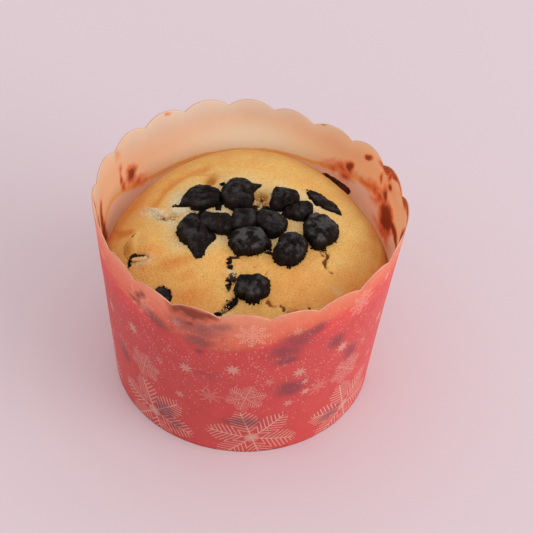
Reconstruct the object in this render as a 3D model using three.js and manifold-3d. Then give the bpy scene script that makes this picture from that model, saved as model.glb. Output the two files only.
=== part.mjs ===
// A chocolate chip muffin in its free-standing paper baking cup.
// The cup is a tapered paper wall with a scalloped rim and a base panel held up on a folded hem.
// The cake fills it to below the rim, domes in the middle and has drawn away from the paper at one side.
// Chocolate chips lie half sunk in the dome, each in a pocket of its own.
// Millimetres, +Z up, origin at the middle of the cup's foot. +X is to the right and -Y to the front.
import * as THREE from "three";
import { mergeVertices } from "three/addons/utils/BufferGeometryUtils.js";
import Module from "manifold-3d";

// Paper cup
const footRadius = 30;
const rimRadius = 34;
const cuspHeight = 48.6; // where two scallops meet
const scallopCount = 20;
const scallopRise = 1.9; // a scallop's top above its cusps
const firstCusp = 10.5; // degrees from +X
const paper = 0.4;
const hemWidth = 1.1; // the folded foot ring
const panelHeight = 2; // underside of the base panel
const segmentsPerScallop = 6;
// Where the paper has been pushed in or has swelled out, at the rim: degrees, millimetres, degrees.
const rimPushes = [
  { at: 64, by: -2.55, spread: 22 },
  { at: 138, by: 0.75, spread: 70 },
  { at: -2, by: 0.9, spread: 18 },
  { at: -149, by: -0.9, spread: 22 },
];

// Cake
const clearance = 0.3; // between any two pieces that touch
const cakeBottom = panelHeight + paper + clearance;
const bottomRound = 1.2;
const crownHeight = 47.5;
const edgeHeight = 37.2; // mean height where the dome begins
const edgeTilt = 2.8; // the edge is this much higher at the front right
const edgeTiltAt = -45;
const domePower = 2.4;
const domeRoot = 0.625;
const shrunkDepth = 7; // how far below its edge the cake has left the paper
// How far the cake's edge has drawn in from the paper: everywhere, and at two sides.
const edgeGap = 0.25;
const edgeShrinks = [
  { at: 25, by: 4.4, spread: 34 },
  { at: 150, by: 2.2, spread: 32 },
];
const cakeSegments = 72;

// Relief of the dome: round swells and hollows in plan, x, y, height and radius.
const swells = [
  { x: -22.5, y: -9.5, by: 1.3, spread: 3.6 },
  { x: -12, y: 1, by: -0.7, spread: 4 },
  { x: -9, y: 11.4, by: -1.3, spread: 1.8 },
  { x: 2.2, y: 3.6, by: -1.2, spread: 2.0 },
  { x: 8, y: -18, by: 0.5, spread: 7 },
  { x: -9, y: -15, by: 0.5, spread: 6 },
  { x: 21, y: -4, by: 0.4, spread: 6 },
];
// The low step that runs round the back left of the dome.
const terrace = { radius: 25.5, drop: 0.9, width: 1.2, at: 140, spread: 42 };
const reliefFade = 1 / 3; // the share of the dome's rise over which the relief grows to full

// Chocolate chips in plan: middle, length, width, height above the cake and turn from +X in degrees.
// A tail is a drawn-out corner at an angle in the same turned frame.
// Those of the middle have melted together: a chip gives way to the ones before it in this list.
const chipSunk = 1.6;
const chipPlumpness = 0.85; // below 1 its flank stands steeper than a sphere's
const chipBed = 1.5; // half the stretch of surface that sets a chip's lean
const tailSharpness = 9;
const chips = {
  middle_front: { x: 0.5, y: -10.2, long: 9.0, wide: 7.0, tall: 2.7, turn: -4 },
  middle: { x: -0.9, y: -3.7, long: 6.8, wide: 5.6, tall: 2.0, turn: 68 },
  middle_right: { x: 5.2, y: -4.0, long: 8.0, wide: 5.8, tall: 1.8, turn: -32 },
  back_middle: { x: -2.7, y: 4.2, long: 9.2, wide: 7.4, tall: 2.4, turn: -84, tails: [{ at: 108, by: 1.9 }] },
  left: {
    x: -12.2, y: -6.5, long: 8.6, wide: 6.4, tall: 2.0, turn: -68,
    tails: [{ at: -6, by: 3.2 }, { at: 50, by: 2.4 }],
  },
  middle_left: { x: -6.6, y: -4.8, long: 8.0, wide: 5.6, tall: 1.7, turn: -16 },
  back_left: { x: -10.5, y: 3.8, long: 8.8, wide: 6.6, tall: 1.9, turn: -3, tails: [{ at: 186, by: 0.6 }] },
  back_right: { x: 7.7, y: 3.8, long: 7.6, wide: 6.2, tall: 2.1, turn: 78 },
  right_inner: { x: 11.2, y: 0.6, long: 7.2, wide: 4.6, tall: 1.7, turn: 32, tails: [{ at: 30, by: 0.6 }] },
  far_right_flat: { x: 16.4, y: 6.0, long: 9.8, wide: 3.8, tall: 0.7, turn: -38 },
  right: { x: 15.9, y: -4.8, long: 9.0, wide: 7.4, tall: 2.5, turn: -84 },
  front_right: { x: 9.4, y: -11.2, long: 9.0, wide: 7.0, tall: 2.7, turn: 69 },
  front: { x: 1.7, y: -22.0, long: 7.9, wide: 6.4, tall: 2.7, turn: 7, tails: [{ at: 172, by: 0.7 }] },
  far_left_front: { x: -17.0, y: -22.0, long: 4.4, wide: 2.8, tall: 0.9, turn: -50 },
  far_left_sliver: { x: -23.2, y: -12.2, long: 4.6, wide: 1.6, tall: 0.5, turn: -12 },
  right_shoulder: { x: 20.0, y: 18.8, long: 9.0, wide: 2.4, tall: 0.9, turn: -47 },
};
const chipSegments = 16;
const chipRings = 8;

// Colours, roughness
const paperFinish = new THREE.MeshStandardMaterial({ color: 0xd2505a, roughness: 0.6 });
const cakeFinish = new THREE.MeshStandardMaterial({ color: 0xdba45f, roughness: 0.85 });
const chipFinish = new THREE.MeshStandardMaterial({ color: 0x2c2423, roughness: 0.5 });

const radians = THREE.MathUtils.degToRad;
const wasm = await Module();
wasm.setup();

// The angle from one direction to another, in degrees between -180 and 180.
function turnBetween(from, to) {
  return THREE.MathUtils.euclideanModulo(to - from + 180, 360) - 180;
}

// A bell curve: 1 at nothing, and 0.37 at one spread away.
function bell(away, spread) {
  return Math.exp(-((away / spread) ** 2));
}

// The sum at an angle of bell-shaped lobes, each given as { at, by, spread }.
function lobesAt(lobes, angle) {
  return lobes.reduce((sum, lobe) => sum + lobe.by * bell(turnBetween(lobe.at, angle), lobe.spread), 0);
}

// A closed geometry with shared vertices and no collapsed triangles becomes a solid.
function toSolid(geometry) {
  const bare = new THREE.BufferGeometry();
  bare.setAttribute("position", geometry.getAttribute("position"));
  bare.setIndex(geometry.getIndex());
  const merged = mergeVertices(bare, 1e-4);
  const kept = [];
  for (let i = 0; i < merged.index.count; i += 3) {
    const corners = [0, 1, 2].map((k) => merged.index.getX(i + k));
    if (new Set(corners).size === 3) kept.push(...corners);
  }
  const vertProperties = new Float32Array(merged.getAttribute("position").array);
  return new wasm.Manifold(new wasm.Mesh({ numProp: 3, vertProperties, triVerts: new Uint32Array(kept) }));
}

// The largest body of a solid as a geometry: a cut can leave loose scraps.
function toGeometry(solid) {
  const body = solid.decompose().reduce((best, one) => (one.volume() > best.volume() ? one : best));
  const mesh = body.getMesh();
  const geometry = new THREE.BufferGeometry();
  geometry.setAttribute("position", new THREE.BufferAttribute(new Float32Array(mesh.vertProperties), 3));
  geometry.setIndex(new THREE.BufferAttribute(new Uint32Array(mesh.triVerts), 1));
  geometry.computeVertexNormals();
  return geometry;
}

// Turns a profile of [radius, height] pairs about +Z, then moves each vertex by the shape function.
function turned(profile, segments, startDegrees, shape) {
  const points = profile.map(([radius, height]) => new THREE.Vector2(radius, height));
  const geometry = new THREE.LatheGeometry(points, segments, radians(90 - startDegrees));
  geometry.rotateX(Math.PI / 2);
  const position = geometry.getAttribute("position");
  const point = new THREE.Vector3();
  for (let i = 0; i < position.count; i++) {
    shape(point.fromBufferAttribute(position, i));
    position.setXYZ(i, point.x, point.y, point.z);
  }
  return geometry;
}

// The paper's outer face at a height: a straight taper, and pushed or swelled more towards the rim.
function wallRadius(angle, height) {
  const up = height / cuspHeight;
  return footRadius + (rimRadius - footRadius) * up + lobesAt(rimPushes, angle) * up ** 2;
}

// The rim above its cusps: one circular arc for each scallop.
function scallopHeight(angle) {
  const pitch = 360 / scallopCount;
  const chord = radians(pitch) * rimRadius;
  const arcRadius = chord ** 2 / (8 * scallopRise) + scallopRise / 2;
  const share = THREE.MathUtils.euclideanModulo(angle - firstCusp, pitch) / pitch - 0.5;
  return Math.sqrt(arcRadius ** 2 - (share * chord) ** 2) - (arcRadius - scallopRise);
}

function makeCup() {
  const rows = [16, 30, 41];
  // Radii count inwards from the outer face, which the shape function sets at each height.
  const inset = (height, by) => [footRadius - by, height];
  const profile = [
    [0, panelHeight],
    inset(panelHeight, hemWidth),
    inset(0, hemWidth),
    inset(0, 0),
    ...rows.map((height) => inset(height, 0)),
    inset(cuspHeight, 0),
    inset(cuspHeight, paper),
    ...rows.toReversed().map((height) => inset(height, paper)),
    inset(panelHeight + paper, paper),
    [0, panelHeight + paper],
  ];
  const shape = (point) => {
    const radius = Math.hypot(point.x, point.y);
    if (radius < 1e-6) return;
    const angle = THREE.MathUtils.radToDeg(Math.atan2(point.y, point.x));
    const grown = (wallRadius(angle, point.z) - footRadius + radius) / radius;
    point.x *= grown;
    point.y *= grown;
    if (point.z > cuspHeight - paper) point.z += scallopHeight(angle);
  };
  return turned(profile, scallopCount * segmentsPerScallop, firstCusp, shape);
}

// Height at which the dome begins, and the cake's radius there.
function edgeAt(angle) {
  const height = edgeHeight + edgeTilt * Math.cos(radians(angle - edgeTiltAt));
  return { height, radius: sideRadius(angle, height) - edgeGap - lobesAt(edgeShrinks, angle) };
}

// The cake's side against the paper.
function sideRadius(angle, height) {
  return wallRadius(angle, height) - paper - clearance;
}

// The dome's height over a point in plan: a rounded crown on the sloping edge, with its relief.
function domeHeight(x, y) {
  const radius = Math.hypot(x, y);
  const angle = THREE.MathUtils.radToDeg(Math.atan2(y, x));
  const edge = edgeAt(angle);
  const share = Math.min(1, radius / edge.radius);
  const rise = (1 - share ** domePower) ** domeRoot;
  const lift = (swell) => swell.by * bell(Math.hypot(x - swell.x, y - swell.y), swell.spread);
  const swelling = swells.reduce((sum, swell) => sum + lift(swell), 0);
  const step = 1 / (1 + Math.exp(-(radius - terrace.radius) / terrace.width));
  const relief = swelling - terrace.drop * step * bell(turnBetween(terrace.at, angle), terrace.spread);
  return edge.height + (crownHeight - edge.height) * rise + relief * Math.min(1, rise / reliefFade);
}

// The cake's profile carries a mark instead of a size: below 1 it is a share of the side's height,
// from 1 to 2 the way in from the dome's edge to its middle.
function makeCake() {
  const sideMarks = [0.12, 0.35, 0.6, 0.78, 0.86, 0.93];
  const shoulderMarks = [0, 0.012, 0.035, 0.07, 0.12, 0.18];
  const domeMarks = [...shoulderMarks, 0.25, 0.33, 0.41, 0.49, 0.57, 0.65, 0.73, 0.81, 0.89, 0.95];
  const profile = [
    [0, 0],
    [1, 0],
    [1, 0.02],
    ...sideMarks.map((mark) => [1, mark]),
    ...domeMarks.map((mark) => [1 - mark / 2, 1 + mark]),
    [0, 2],
  ];
  const shape = (point) => {
    const mark = point.z;
    const radius = Math.hypot(point.x, point.y);
    if (radius < 1e-6) {
      point.z = mark > 1 ? domeHeight(0, 0) : cakeBottom;
      return;
    }
    const angle = THREE.MathUtils.radToDeg(Math.atan2(point.y, point.x));
    const edge = edgeAt(angle);
    let out;
    if (mark >= 1) {
      out = edge.radius * (2 - mark);
      point.z = domeHeight((point.x / radius) * out, (point.y / radius) * out);
    } else {
      const height = cakeBottom + (edge.height - cakeBottom) * mark;
      const full = sideRadius(angle, height);
      const left = sideRadius(angle, edge.height) - edge.radius;
      const fade = THREE.MathUtils.smoothstep(height, edge.height - shrunkDepth, edge.height);
      out = mark > 0 ? full - left * fade : full - bottomRound;
      point.z = height;
    }
    point.x *= out / radius;
    point.y *= out / radius;
  };
  return turned(profile, cakeSegments, 0, shape);
}

// Reach of a chip from its middle, in its own turned frame: an ellipse with its tails.
function chipReach(chip, angle) {
  const a = chip.long / 2;
  const b = chip.wide / 2;
  const ellipse = (a * b) / Math.hypot(b * Math.cos(angle), a * Math.sin(angle));
  return (chip.tails ?? []).reduce(
    (sum, tail) => sum + tail.by * Math.exp(-tailSharpness * (1 - Math.cos(angle - radians(tail.at)))),
    ellipse,
  );
}

// A flattened drop: plump above, shallow below, and larger all round by the given margin.
function makeChip(chip, margin) {
  const geometry = new THREE.SphereGeometry(1, chipSegments, chipRings);
  geometry.rotateX(Math.PI / 2);
  const position = geometry.getAttribute("position");
  const point = new THREE.Vector3();
  for (let i = 0; i < position.count; i++) {
    point.fromBufferAttribute(position, i);
    const angle = Math.atan2(point.y, point.x);
    const out = (chipReach(chip, angle) + margin) * Math.hypot(point.x, point.y) ** chipPlumpness;
    const height = point.z > 0 ? chip.tall + margin : chipSunk + margin;
    position.setXYZ(i, out * Math.cos(angle), out * Math.sin(angle), point.z * height);
  }
  geometry.applyMatrix4(chipPlace(chip));
  return geometry;
}

// A chip lies along the cake's surface at its middle.
function chipPlace({ x, y, turn }) {
  const here = new THREE.Vector3(x, y, domeHeight(x, y));
  const riseX = domeHeight(x + chipBed, y) - domeHeight(x - chipBed, y);
  const riseY = domeHeight(x, y + chipBed) - domeHeight(x, y - chipBed);
  const normal = new THREE.Vector3(-riseX, -riseY, 2 * chipBed).normalize();
  const up = new THREE.Vector3(0, 0, 1);
  const lean = new THREE.Quaternion().setFromUnitVectors(up, normal);
  const spin = new THREE.Quaternion().setFromAxisAngle(up, radians(turn));
  return new THREE.Matrix4().compose(here, lean.multiply(spin), new THREE.Vector3(1, 1, 1));
}

const muffin = new THREE.Group();

function addMesh(name, geometry, finish) {
  const mesh = new THREE.Mesh(geometry, finish);
  mesh.name = name;
  muffin.add(mesh);
}

addMesh("paper_cup", toGeometry(toSolid(makeCup())), paperFinish);

let cake = toSolid(makeCake());
const placed = [];
for (const [name, chip] of Object.entries(chips)) {
  const pocket = toSolid(makeChip(chip, clearance));
  cake = cake.subtract(pocket);
  // Chips that melted against each other share a face: the later one gives way.
  const own = placed.reduce((left, earlier) => left.subtract(earlier), toSolid(makeChip(chip, 0)));
  placed.push(pocket);
  addMesh(`chip_${name}`, toGeometry(own), chipFinish);
}
addMesh("cake", toGeometry(cake), cakeFinish);

export default muffin;
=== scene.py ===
"""A chocolate chip muffin in its scalloped paper baking cup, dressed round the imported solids.

The classes hold their sizes in millimetres and their angles in degrees from +X, as the frame is laid out:
+Z up, +X to the right, -Y to the front, origin at the middle of the cup's foot. Meshes are made in metres.
"""

import logging
import math
from collections.abc import Iterable, Mapping, Sequence
from dataclasses import dataclass, field
from enum import Enum

import bpy
import numpy as np
from mathutils import Matrix
from numpy.typing import NDArray


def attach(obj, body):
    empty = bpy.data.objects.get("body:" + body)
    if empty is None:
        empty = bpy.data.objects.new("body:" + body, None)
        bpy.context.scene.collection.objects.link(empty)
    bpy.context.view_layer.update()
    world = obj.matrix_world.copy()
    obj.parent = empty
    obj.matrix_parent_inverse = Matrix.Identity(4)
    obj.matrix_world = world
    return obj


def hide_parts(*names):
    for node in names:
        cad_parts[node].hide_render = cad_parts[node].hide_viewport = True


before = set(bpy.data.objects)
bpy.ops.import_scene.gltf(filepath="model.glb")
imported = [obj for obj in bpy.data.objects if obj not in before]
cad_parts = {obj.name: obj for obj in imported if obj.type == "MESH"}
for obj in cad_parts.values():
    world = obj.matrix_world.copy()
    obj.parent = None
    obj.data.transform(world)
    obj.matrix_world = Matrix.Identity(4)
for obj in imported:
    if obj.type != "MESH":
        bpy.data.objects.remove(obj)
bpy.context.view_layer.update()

Array = NDArray[np.float64]
Colour = tuple[float, float, float, float]
Span = tuple[float, float]
Socket = bpy.types.NodeSocket
Tree = bpy.types.NodeTree
Thing = bpy.types.Object
Material = bpy.types.Material
Value = Socket | float | Colour | tuple[float, float, float]
Offsets = Iterable[tuple[Array, Array]]

LOG = logging.getLogger("muffin")
MM = 0.001
BODY = "root"


class Slot(Enum):
    """The record's material slots."""

    PAPER = "printed_paper"
    CAKE = "cake_crust"
    CHOCOLATE = "chocolate"


# ---------------------------------------------------------------- numbers


def srgb(red: int, green: int, blue: int) -> Colour:
    """The linear colour, opaque, of display values from 0 to 255."""
    shares = [channel / 255 for channel in (red, green, blue)]
    linear = [s / 12.92 if s <= 0.04045 else ((s + 0.055) / 1.055) ** 2.4 for s in shares]
    return (linear[0], linear[1], linear[2], 1.0)


def turn_between(start: float | Array, end: float | Array) -> float | Array:
    """The turn from one direction to another, in degrees between -180 and 180."""
    return np.mod(end - start + 180, 360) - 180


def bell(away: float | Array, spread: float = 1.0) -> float | Array:
    """A bell curve: 1 at nothing, and 0.37 at one spread away."""
    return np.exp(-((away / spread) ** 2))


def ease(value: float | Array, low: float, high: float) -> float | Array:
    """A smooth step from 0 at low to 1 at high."""
    share = np.clip((value - low) / (high - low), 0, 1)
    return share * share * (3 - 2 * share)


def lattice(cell: NDArray[np.int64], seed: int) -> Array:
    """A fixed random value at each whole-numbered point: an integer hash of its coordinates.

    Args:
        cell: whole coordinates, three to a row.
        seed: another seed gives another field.

    Returns:
        One value from -1 to 1 for each row.
    """
    mixed = cell[..., 0] * 73856093 ^ cell[..., 1] * 19349663 ^ cell[..., 2] * 83492791 ^ seed * 26544357
    mixed &= 0xFFFFFFFF
    mixed = ((mixed ^ (mixed >> 15)) * 1274126177) & 0xFFFFFFFF
    mixed = ((mixed ^ (mixed >> 13)) * 1103515245) & 0xFFFFFFFF
    return ((mixed ^ (mixed >> 16)) & 0xFFFF) / 32767.5 - 1


def noise(points: Array, seed: int) -> Array:
    """Smooth noise: the lattice's values at a cell's eight corners, blended by eased shares.

    Args:
        points: coordinates, three to a row, in cells.
        seed: of the lattice.

    Returns:
        One value from -1 to 1 for each row.
    """
    cell = np.floor(points).astype(np.int64)
    part = points - cell
    share = part * part * (3 - 2 * part)
    total = np.zeros(points.shape[:-1])
    for corner in np.ndindex(2, 2, 2):
        weight = np.prod(np.where(np.array(corner) == 1, share, 1 - share), axis=-1)
        total += weight * lattice(cell + np.array(corner), seed)
    return total


def fractal(points: Array, size: float, octaves: int, seed: int) -> Array:
    """Noise of a size with finer noise on it, each octave half the size and half the height of the last.

    Args:
        points: coordinates, three to a row.
        size: of the coarsest cells, in the points' unit.
        octaves: how many sizes are added.
        seed: of the first octave.

    Returns:
        One value for each row, mostly between -1 and 1.
    """
    layers = [noise(points * (2**k / size) + 17.3 * k, seed + k) / 2**k for k in range(octaves)]
    return np.sum(layers, axis=0) / 1.6


def billow(points: Array, size: float, octaves: int, seed: int) -> Array:
    """Round lumps with sharp creases between them: the sizes of noise without their signs.

    Args and result are those of fractal.
    """
    layers = [np.abs(noise(points * (2**k / size) + 11.7 * k, seed + k)) / 1.7**k for k in range(octaves)]
    return np.sum(layers, axis=0) * 1.6 - 0.8


@dataclass(frozen=True)
class Lumps:
    """Bumps of noise: how high and how wide they are, how many finer sizes they bear, and their seed."""

    height: float
    size: float
    octaves: int
    seed: int
    creased: bool = False

    def at(self, points: Array, more: int = 0) -> Array:
        """The height at each point; more is added to the seed."""
        kind = billow if self.creased else fractal
        return self.height * kind(points, self.size, self.octaves, self.seed + more)


# ---------------------------------------------------------------- meshes


def ring_faces(rings: int, columns: int) -> list[tuple[int, ...]]:
    """Faces of closed rings stacked one on another, with a pole point at each end.

    Point 0 is the first pole, then come the rings' points ring by ring, and the last point is the other pole.

    Args:
        rings: number of rings.
        columns: points in each ring.

    Returns:
        Triangles at the poles and quads between the rings, facing out when the rings run up the outside.
    """
    index = 1 + np.arange(rings * columns).reshape(rings, columns)
    after = np.roll(index, -1, axis=1)
    quads = np.stack([index[:-1], after[:-1], after[1:], index[1:]], axis=-1).reshape(-1, 4)
    first = np.stack([np.zeros(columns, int), after[0], index[0]], axis=-1)
    last = np.stack([np.full(columns, rings * columns + 1), index[-1], after[-1]], axis=-1)
    return [*map(tuple, first.tolist()), *map(tuple, quads.tolist()), *map(tuple, last.tolist())]


def make_object(
    name: str, points: Array, faces: list[tuple[int, ...]], fields: Mapping[str, Array] | None = None
) -> Thing:
    """Puts points and faces into a new smooth mesh object at the origin.

    Args:
        name: of the object.
        points: in millimetres, three to a row.
        faces: point numbers of each face.
        fields: values to keep on the points, by name.

    Returns:
        The object, linked to the scene.
    """
    mesh = bpy.data.meshes.new(name)
    mesh.from_pydata((points * MM).tolist(), [], faces)
    mesh.polygons.foreach_set("use_smooth", np.ones(len(mesh.polygons), bool))
    for label, values in (fields or {}).items():
        layer = mesh.attributes.new(label, "FLOAT", "POINT")
        layer.data.foreach_set("value", np.ascontiguousarray(values, np.float32))
    mesh.update()
    piece = bpy.data.objects.new(name, mesh)
    bpy.context.scene.collection.objects.link(piece)
    return piece


def finish_piece(piece: Thing, slot: Slot, materials: Iterable[Material], nodes: Sequence[str] = ()) -> None:
    """Paints a piece, hangs it on the body, hides the solids it stands for, and logs its triangles, its slot's
    name and those solids.
    """
    for material in materials:
        piece.data.materials.append(material)
    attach(piece, BODY)
    if nodes:
        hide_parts(*nodes)
    corners = np.zeros(len(piece.data.polygons), np.int32)
    piece.data.polygons.foreach_get("loop_total", corners)
    LOG.info("%s: %d triangles, %s, stands for %s", piece.name, int((corners - 2).sum()), slot.value, nodes)


# ---------------------------------------------------------------- shader graphs


class Graph:
    """Adds nodes to a tree and joins them, so that a formula reads as one."""

    def __init__(self, tree: Tree) -> None:
        """Keeps the tree that the nodes go into."""
        self.tree = tree

    def node(self, kind: str, inputs: Mapping[str | int, Value], **options: object) -> bpy.types.Node:
        """Adds one node.

        Args:
            kind: the node's type.
            inputs: what each input socket takes: another node's output, or a number or colour.
            options: the node's own settings.

        Returns:
            The new node.
        """
        node = self.tree.nodes.new(kind)
        for option, setting in options.items():
            setattr(node, option, setting)
        for socket, value in inputs.items():
            if isinstance(value, Socket):
                self.tree.links.new(value, node.inputs[socket])
            else:
                node.inputs[socket].default_value = value
        return node

    def math(self, operation: str, *values: Value) -> Socket:
        """One step of arithmetic on numbers."""
        return self.node("ShaderNodeMath", dict(enumerate(values)), operation=operation).outputs[0]

    def times(self, first: Value, second: Value) -> Socket:
        """A product."""
        return self.math("MULTIPLY", first, second)

    def plus(self, first: Value, second: Value) -> Socket:
        """A sum."""
        return self.math("ADD", first, second)

    def minus(self, first: Value, second: Value) -> Socket:
        """A difference."""
        return self.math("SUBTRACT", first, second)

    def over(self, first: Value, second: Value) -> Socket:
        """A quotient."""
        return self.math("DIVIDE", first, second)

    def centred(self, value: Value, height: float) -> Socket:
        """A value round 0.5 as one round 0, with the whole range of a height."""
        return self.math("MULTIPLY_ADD", value, height, -height / 2)

    def step(self, value: Value, low: Value, high: Value) -> Socket:
        """A smooth step from 0 at low to 1 at high; low may be the larger."""
        inputs = {"Value": value, "From Min": low, "From Max": high}
        return self.node("ShaderNodeMapRange", inputs, interpolation_type="SMOOTHSTEP").outputs[0]

    def scale(self, value: Value, low: float, high: float, start: float = 0.0, end: float = 1.0) -> Socket:
        """Carries low to high over onto start to end, and holds the ends."""
        inputs = {"Value": value, "From Min": low, "From Max": high, "To Min": start, "To Max": end}
        return self.node("ShaderNodeMapRange", inputs).outputs[0]

    def fold(self, value: Value, period: Value) -> Socket:
        """The distance from the nearest whole number of periods, below or above 0."""
        whole = self.math("ROUND", self.over(value, period))
        return self.minus(value, self.times(whole, period))

    def mix(self, factor: Value, first: Value, second: Value, cover: float | None = None) -> Socket:
        """A colour between two: the first where the factor is 0; a cover weakens the factor."""
        inputs = {0: factor if cover is None else self.times(factor, cover), 6: first, 7: second}
        return self.node("ShaderNodeMix", inputs, data_type="RGBA").outputs[2]

    def tint(self, factor: Value, colour: Value, by: Value) -> Socket:
        """A colour multiplied by another where the factor is 1."""
        inputs = {0: factor, 6: colour, 7: by}
        return self.node("ShaderNodeMix", inputs, data_type="RGBA", blend_type="MULTIPLY").outputs[2]

    def field(self, name: str) -> Socket:
        """A value kept on the mesh's points."""
        return self.node("ShaderNodeAttribute", {}, attribute_name=name).outputs["Fac"]

    def noise(self, place: Value, size: float, detail: float = 3.0, roughness: float = 0.5) -> Socket:
        """Noise round 0.5, with grains of a size in millimetres."""
        inputs = {"Vector": place, "Scale": 1 / (size * MM), "Detail": detail, "Roughness": roughness}
        return self.node("ShaderNodeTexNoise", inputs).outputs[0]

    def group(self, tree: Tree, inputs: Mapping[str, Value]) -> bpy.types.bpy_prop_collection:
        """Places a node group with its own values, and gives its outputs."""
        return self.node("ShaderNodeGroup", inputs, node_tree=tree).outputs


class GroupGraph(Graph):
    """A shader node group that is being built."""

    def __init__(self, name: str, numbers: Mapping[str, float], vectors: Iterable[str] = ()) -> None:
        """Makes the group with its inputs.

        Args:
            name: of the group.
            numbers: its number inputs and what each is when nothing is joined to it.
            vectors: names of its vector inputs.
        """
        super().__init__(bpy.data.node_groups.new(name, "ShaderNodeTree"))
        for label in vectors:
            self.tree.interface.new_socket(name=label, in_out="INPUT", socket_type="NodeSocketVector")
        for label, value in numbers.items():
            socket = self.tree.interface.new_socket(name=label, in_out="INPUT", socket_type="NodeSocketFloat")
            socket.default_value = value
        self.given = self.tree.nodes.new("NodeGroupInput").outputs
        self.result = self.tree.nodes.new("NodeGroupOutput")

    def put_out(self, name: str, value: Socket) -> None:
        """Adds an output and joins a value to it."""
        self.tree.interface.new_socket(name=name, in_out="OUTPUT", socket_type="NodeSocketFloat")
        self.tree.links.new(value, self.result.inputs[name])


class MaterialGraph(Graph):
    """A material that is being built on one Principled shader."""

    def __init__(self, name: str) -> None:
        """Makes an empty material with its output."""
        self.material = bpy.data.materials.new(name)
        self.material.use_nodes = True
        super().__init__(self.material.node_tree)
        self.tree.nodes.clear()

    def grained(self, grain: Tree, size: float) -> tuple[Socket, bpy.types.bpy_prop_collection]:
        """Object coordinates, and the outputs of the shared grain there, of a size in millimetres."""
        place = self.node("ShaderNodeTexCoord", {}).outputs["Object"]
        return place, self.group(grain, {"Vector": place, "Size": size})

    def surface(self, inputs: Mapping[str, Value], bump: Value | None = None, reach: float = 0.1) -> Material:
        """Adds the shader and joins it to the output.

        Args:
            inputs: of the Principled shader.
            bump: a height between 0 and 1, or none.
            reach: how high 1 stands, in millimetres.

        Returns:
            The finished material.
        """
        given = dict(inputs)
        if bump is not None:
            given["Normal"] = self.node("ShaderNodeBump", {"Height": bump, "Distance": reach * MM}).outputs[0]
        shader = self.node("ShaderNodeBsdfPrincipled", given)
        self.node("ShaderNodeOutputMaterial", {"Surface": shader.outputs[0]})
        return self.material


# ---------------------------------------------------------------- forms shared by the pieces


@dataclass(frozen=True)
class Lobe:
    """A bell-shaped push round an angle."""

    at: float
    by: float
    spread: float


def lobes(*rows: tuple[float, float, float]) -> tuple[Lobe, ...]:
    """Lobes from rows of their angle, push and spread."""
    return tuple(Lobe(*row) for row in rows)


def lobes_at(pushes: Iterable[Lobe], angle: Array) -> Array:
    """The sum of some lobes at each angle."""
    bells = (lobe.by * bell(turn_between(lobe.at, angle), lobe.spread) for lobe in pushes)
    return sum(bells, np.zeros_like(angle))


@dataclass(frozen=True)
class CupForm:
    """The tapered wall of the cup and its scalloped rim."""

    foot_radius: float = 30.0
    rim_radius: float = 34.0
    cusp_height: float = 48.6
    scallops: int = 20
    scallop_rise: float = 1.9
    first_cusp: float = 10.5
    paper: float = 0.4
    hem: float = 1.1
    panel_height: float = 2.0
    pushes: tuple[Lobe, ...] = lobes((64, -2.55, 22), (138, 0.75, 70), (-2, 0.9, 18), (-149, -0.9, 22))

    def wall_radius(self, angle: Array, height: Array) -> Array:
        """The outer face: a straight taper, pushed or swelled more towards the rim."""
        up = height / self.cusp_height
        taper = self.foot_radius + (self.rim_radius - self.foot_radius) * up
        return taper + lobes_at(self.pushes, angle) * up**2

    def rim_height(self, angle: Array) -> Array:
        """The rim: one circular arc over each scallop's chord, standing on the height of the cusps."""
        pitch = 360 / self.scallops
        chord = math.radians(pitch) * self.rim_radius
        arc_radius = chord**2 / (8 * self.scallop_rise) + self.scallop_rise / 2
        share = np.mod(angle - self.first_cusp, pitch) / pitch - 0.5
        arc = np.sqrt(arc_radius**2 - (share * chord) ** 2) - (arc_radius - self.scallop_rise)
        return self.cusp_height + arc


@dataclass(frozen=True)
class Swell:
    """A round swelling or hollow of the dome, in plan."""

    x: float
    y: float
    by: float
    spread: float


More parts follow.
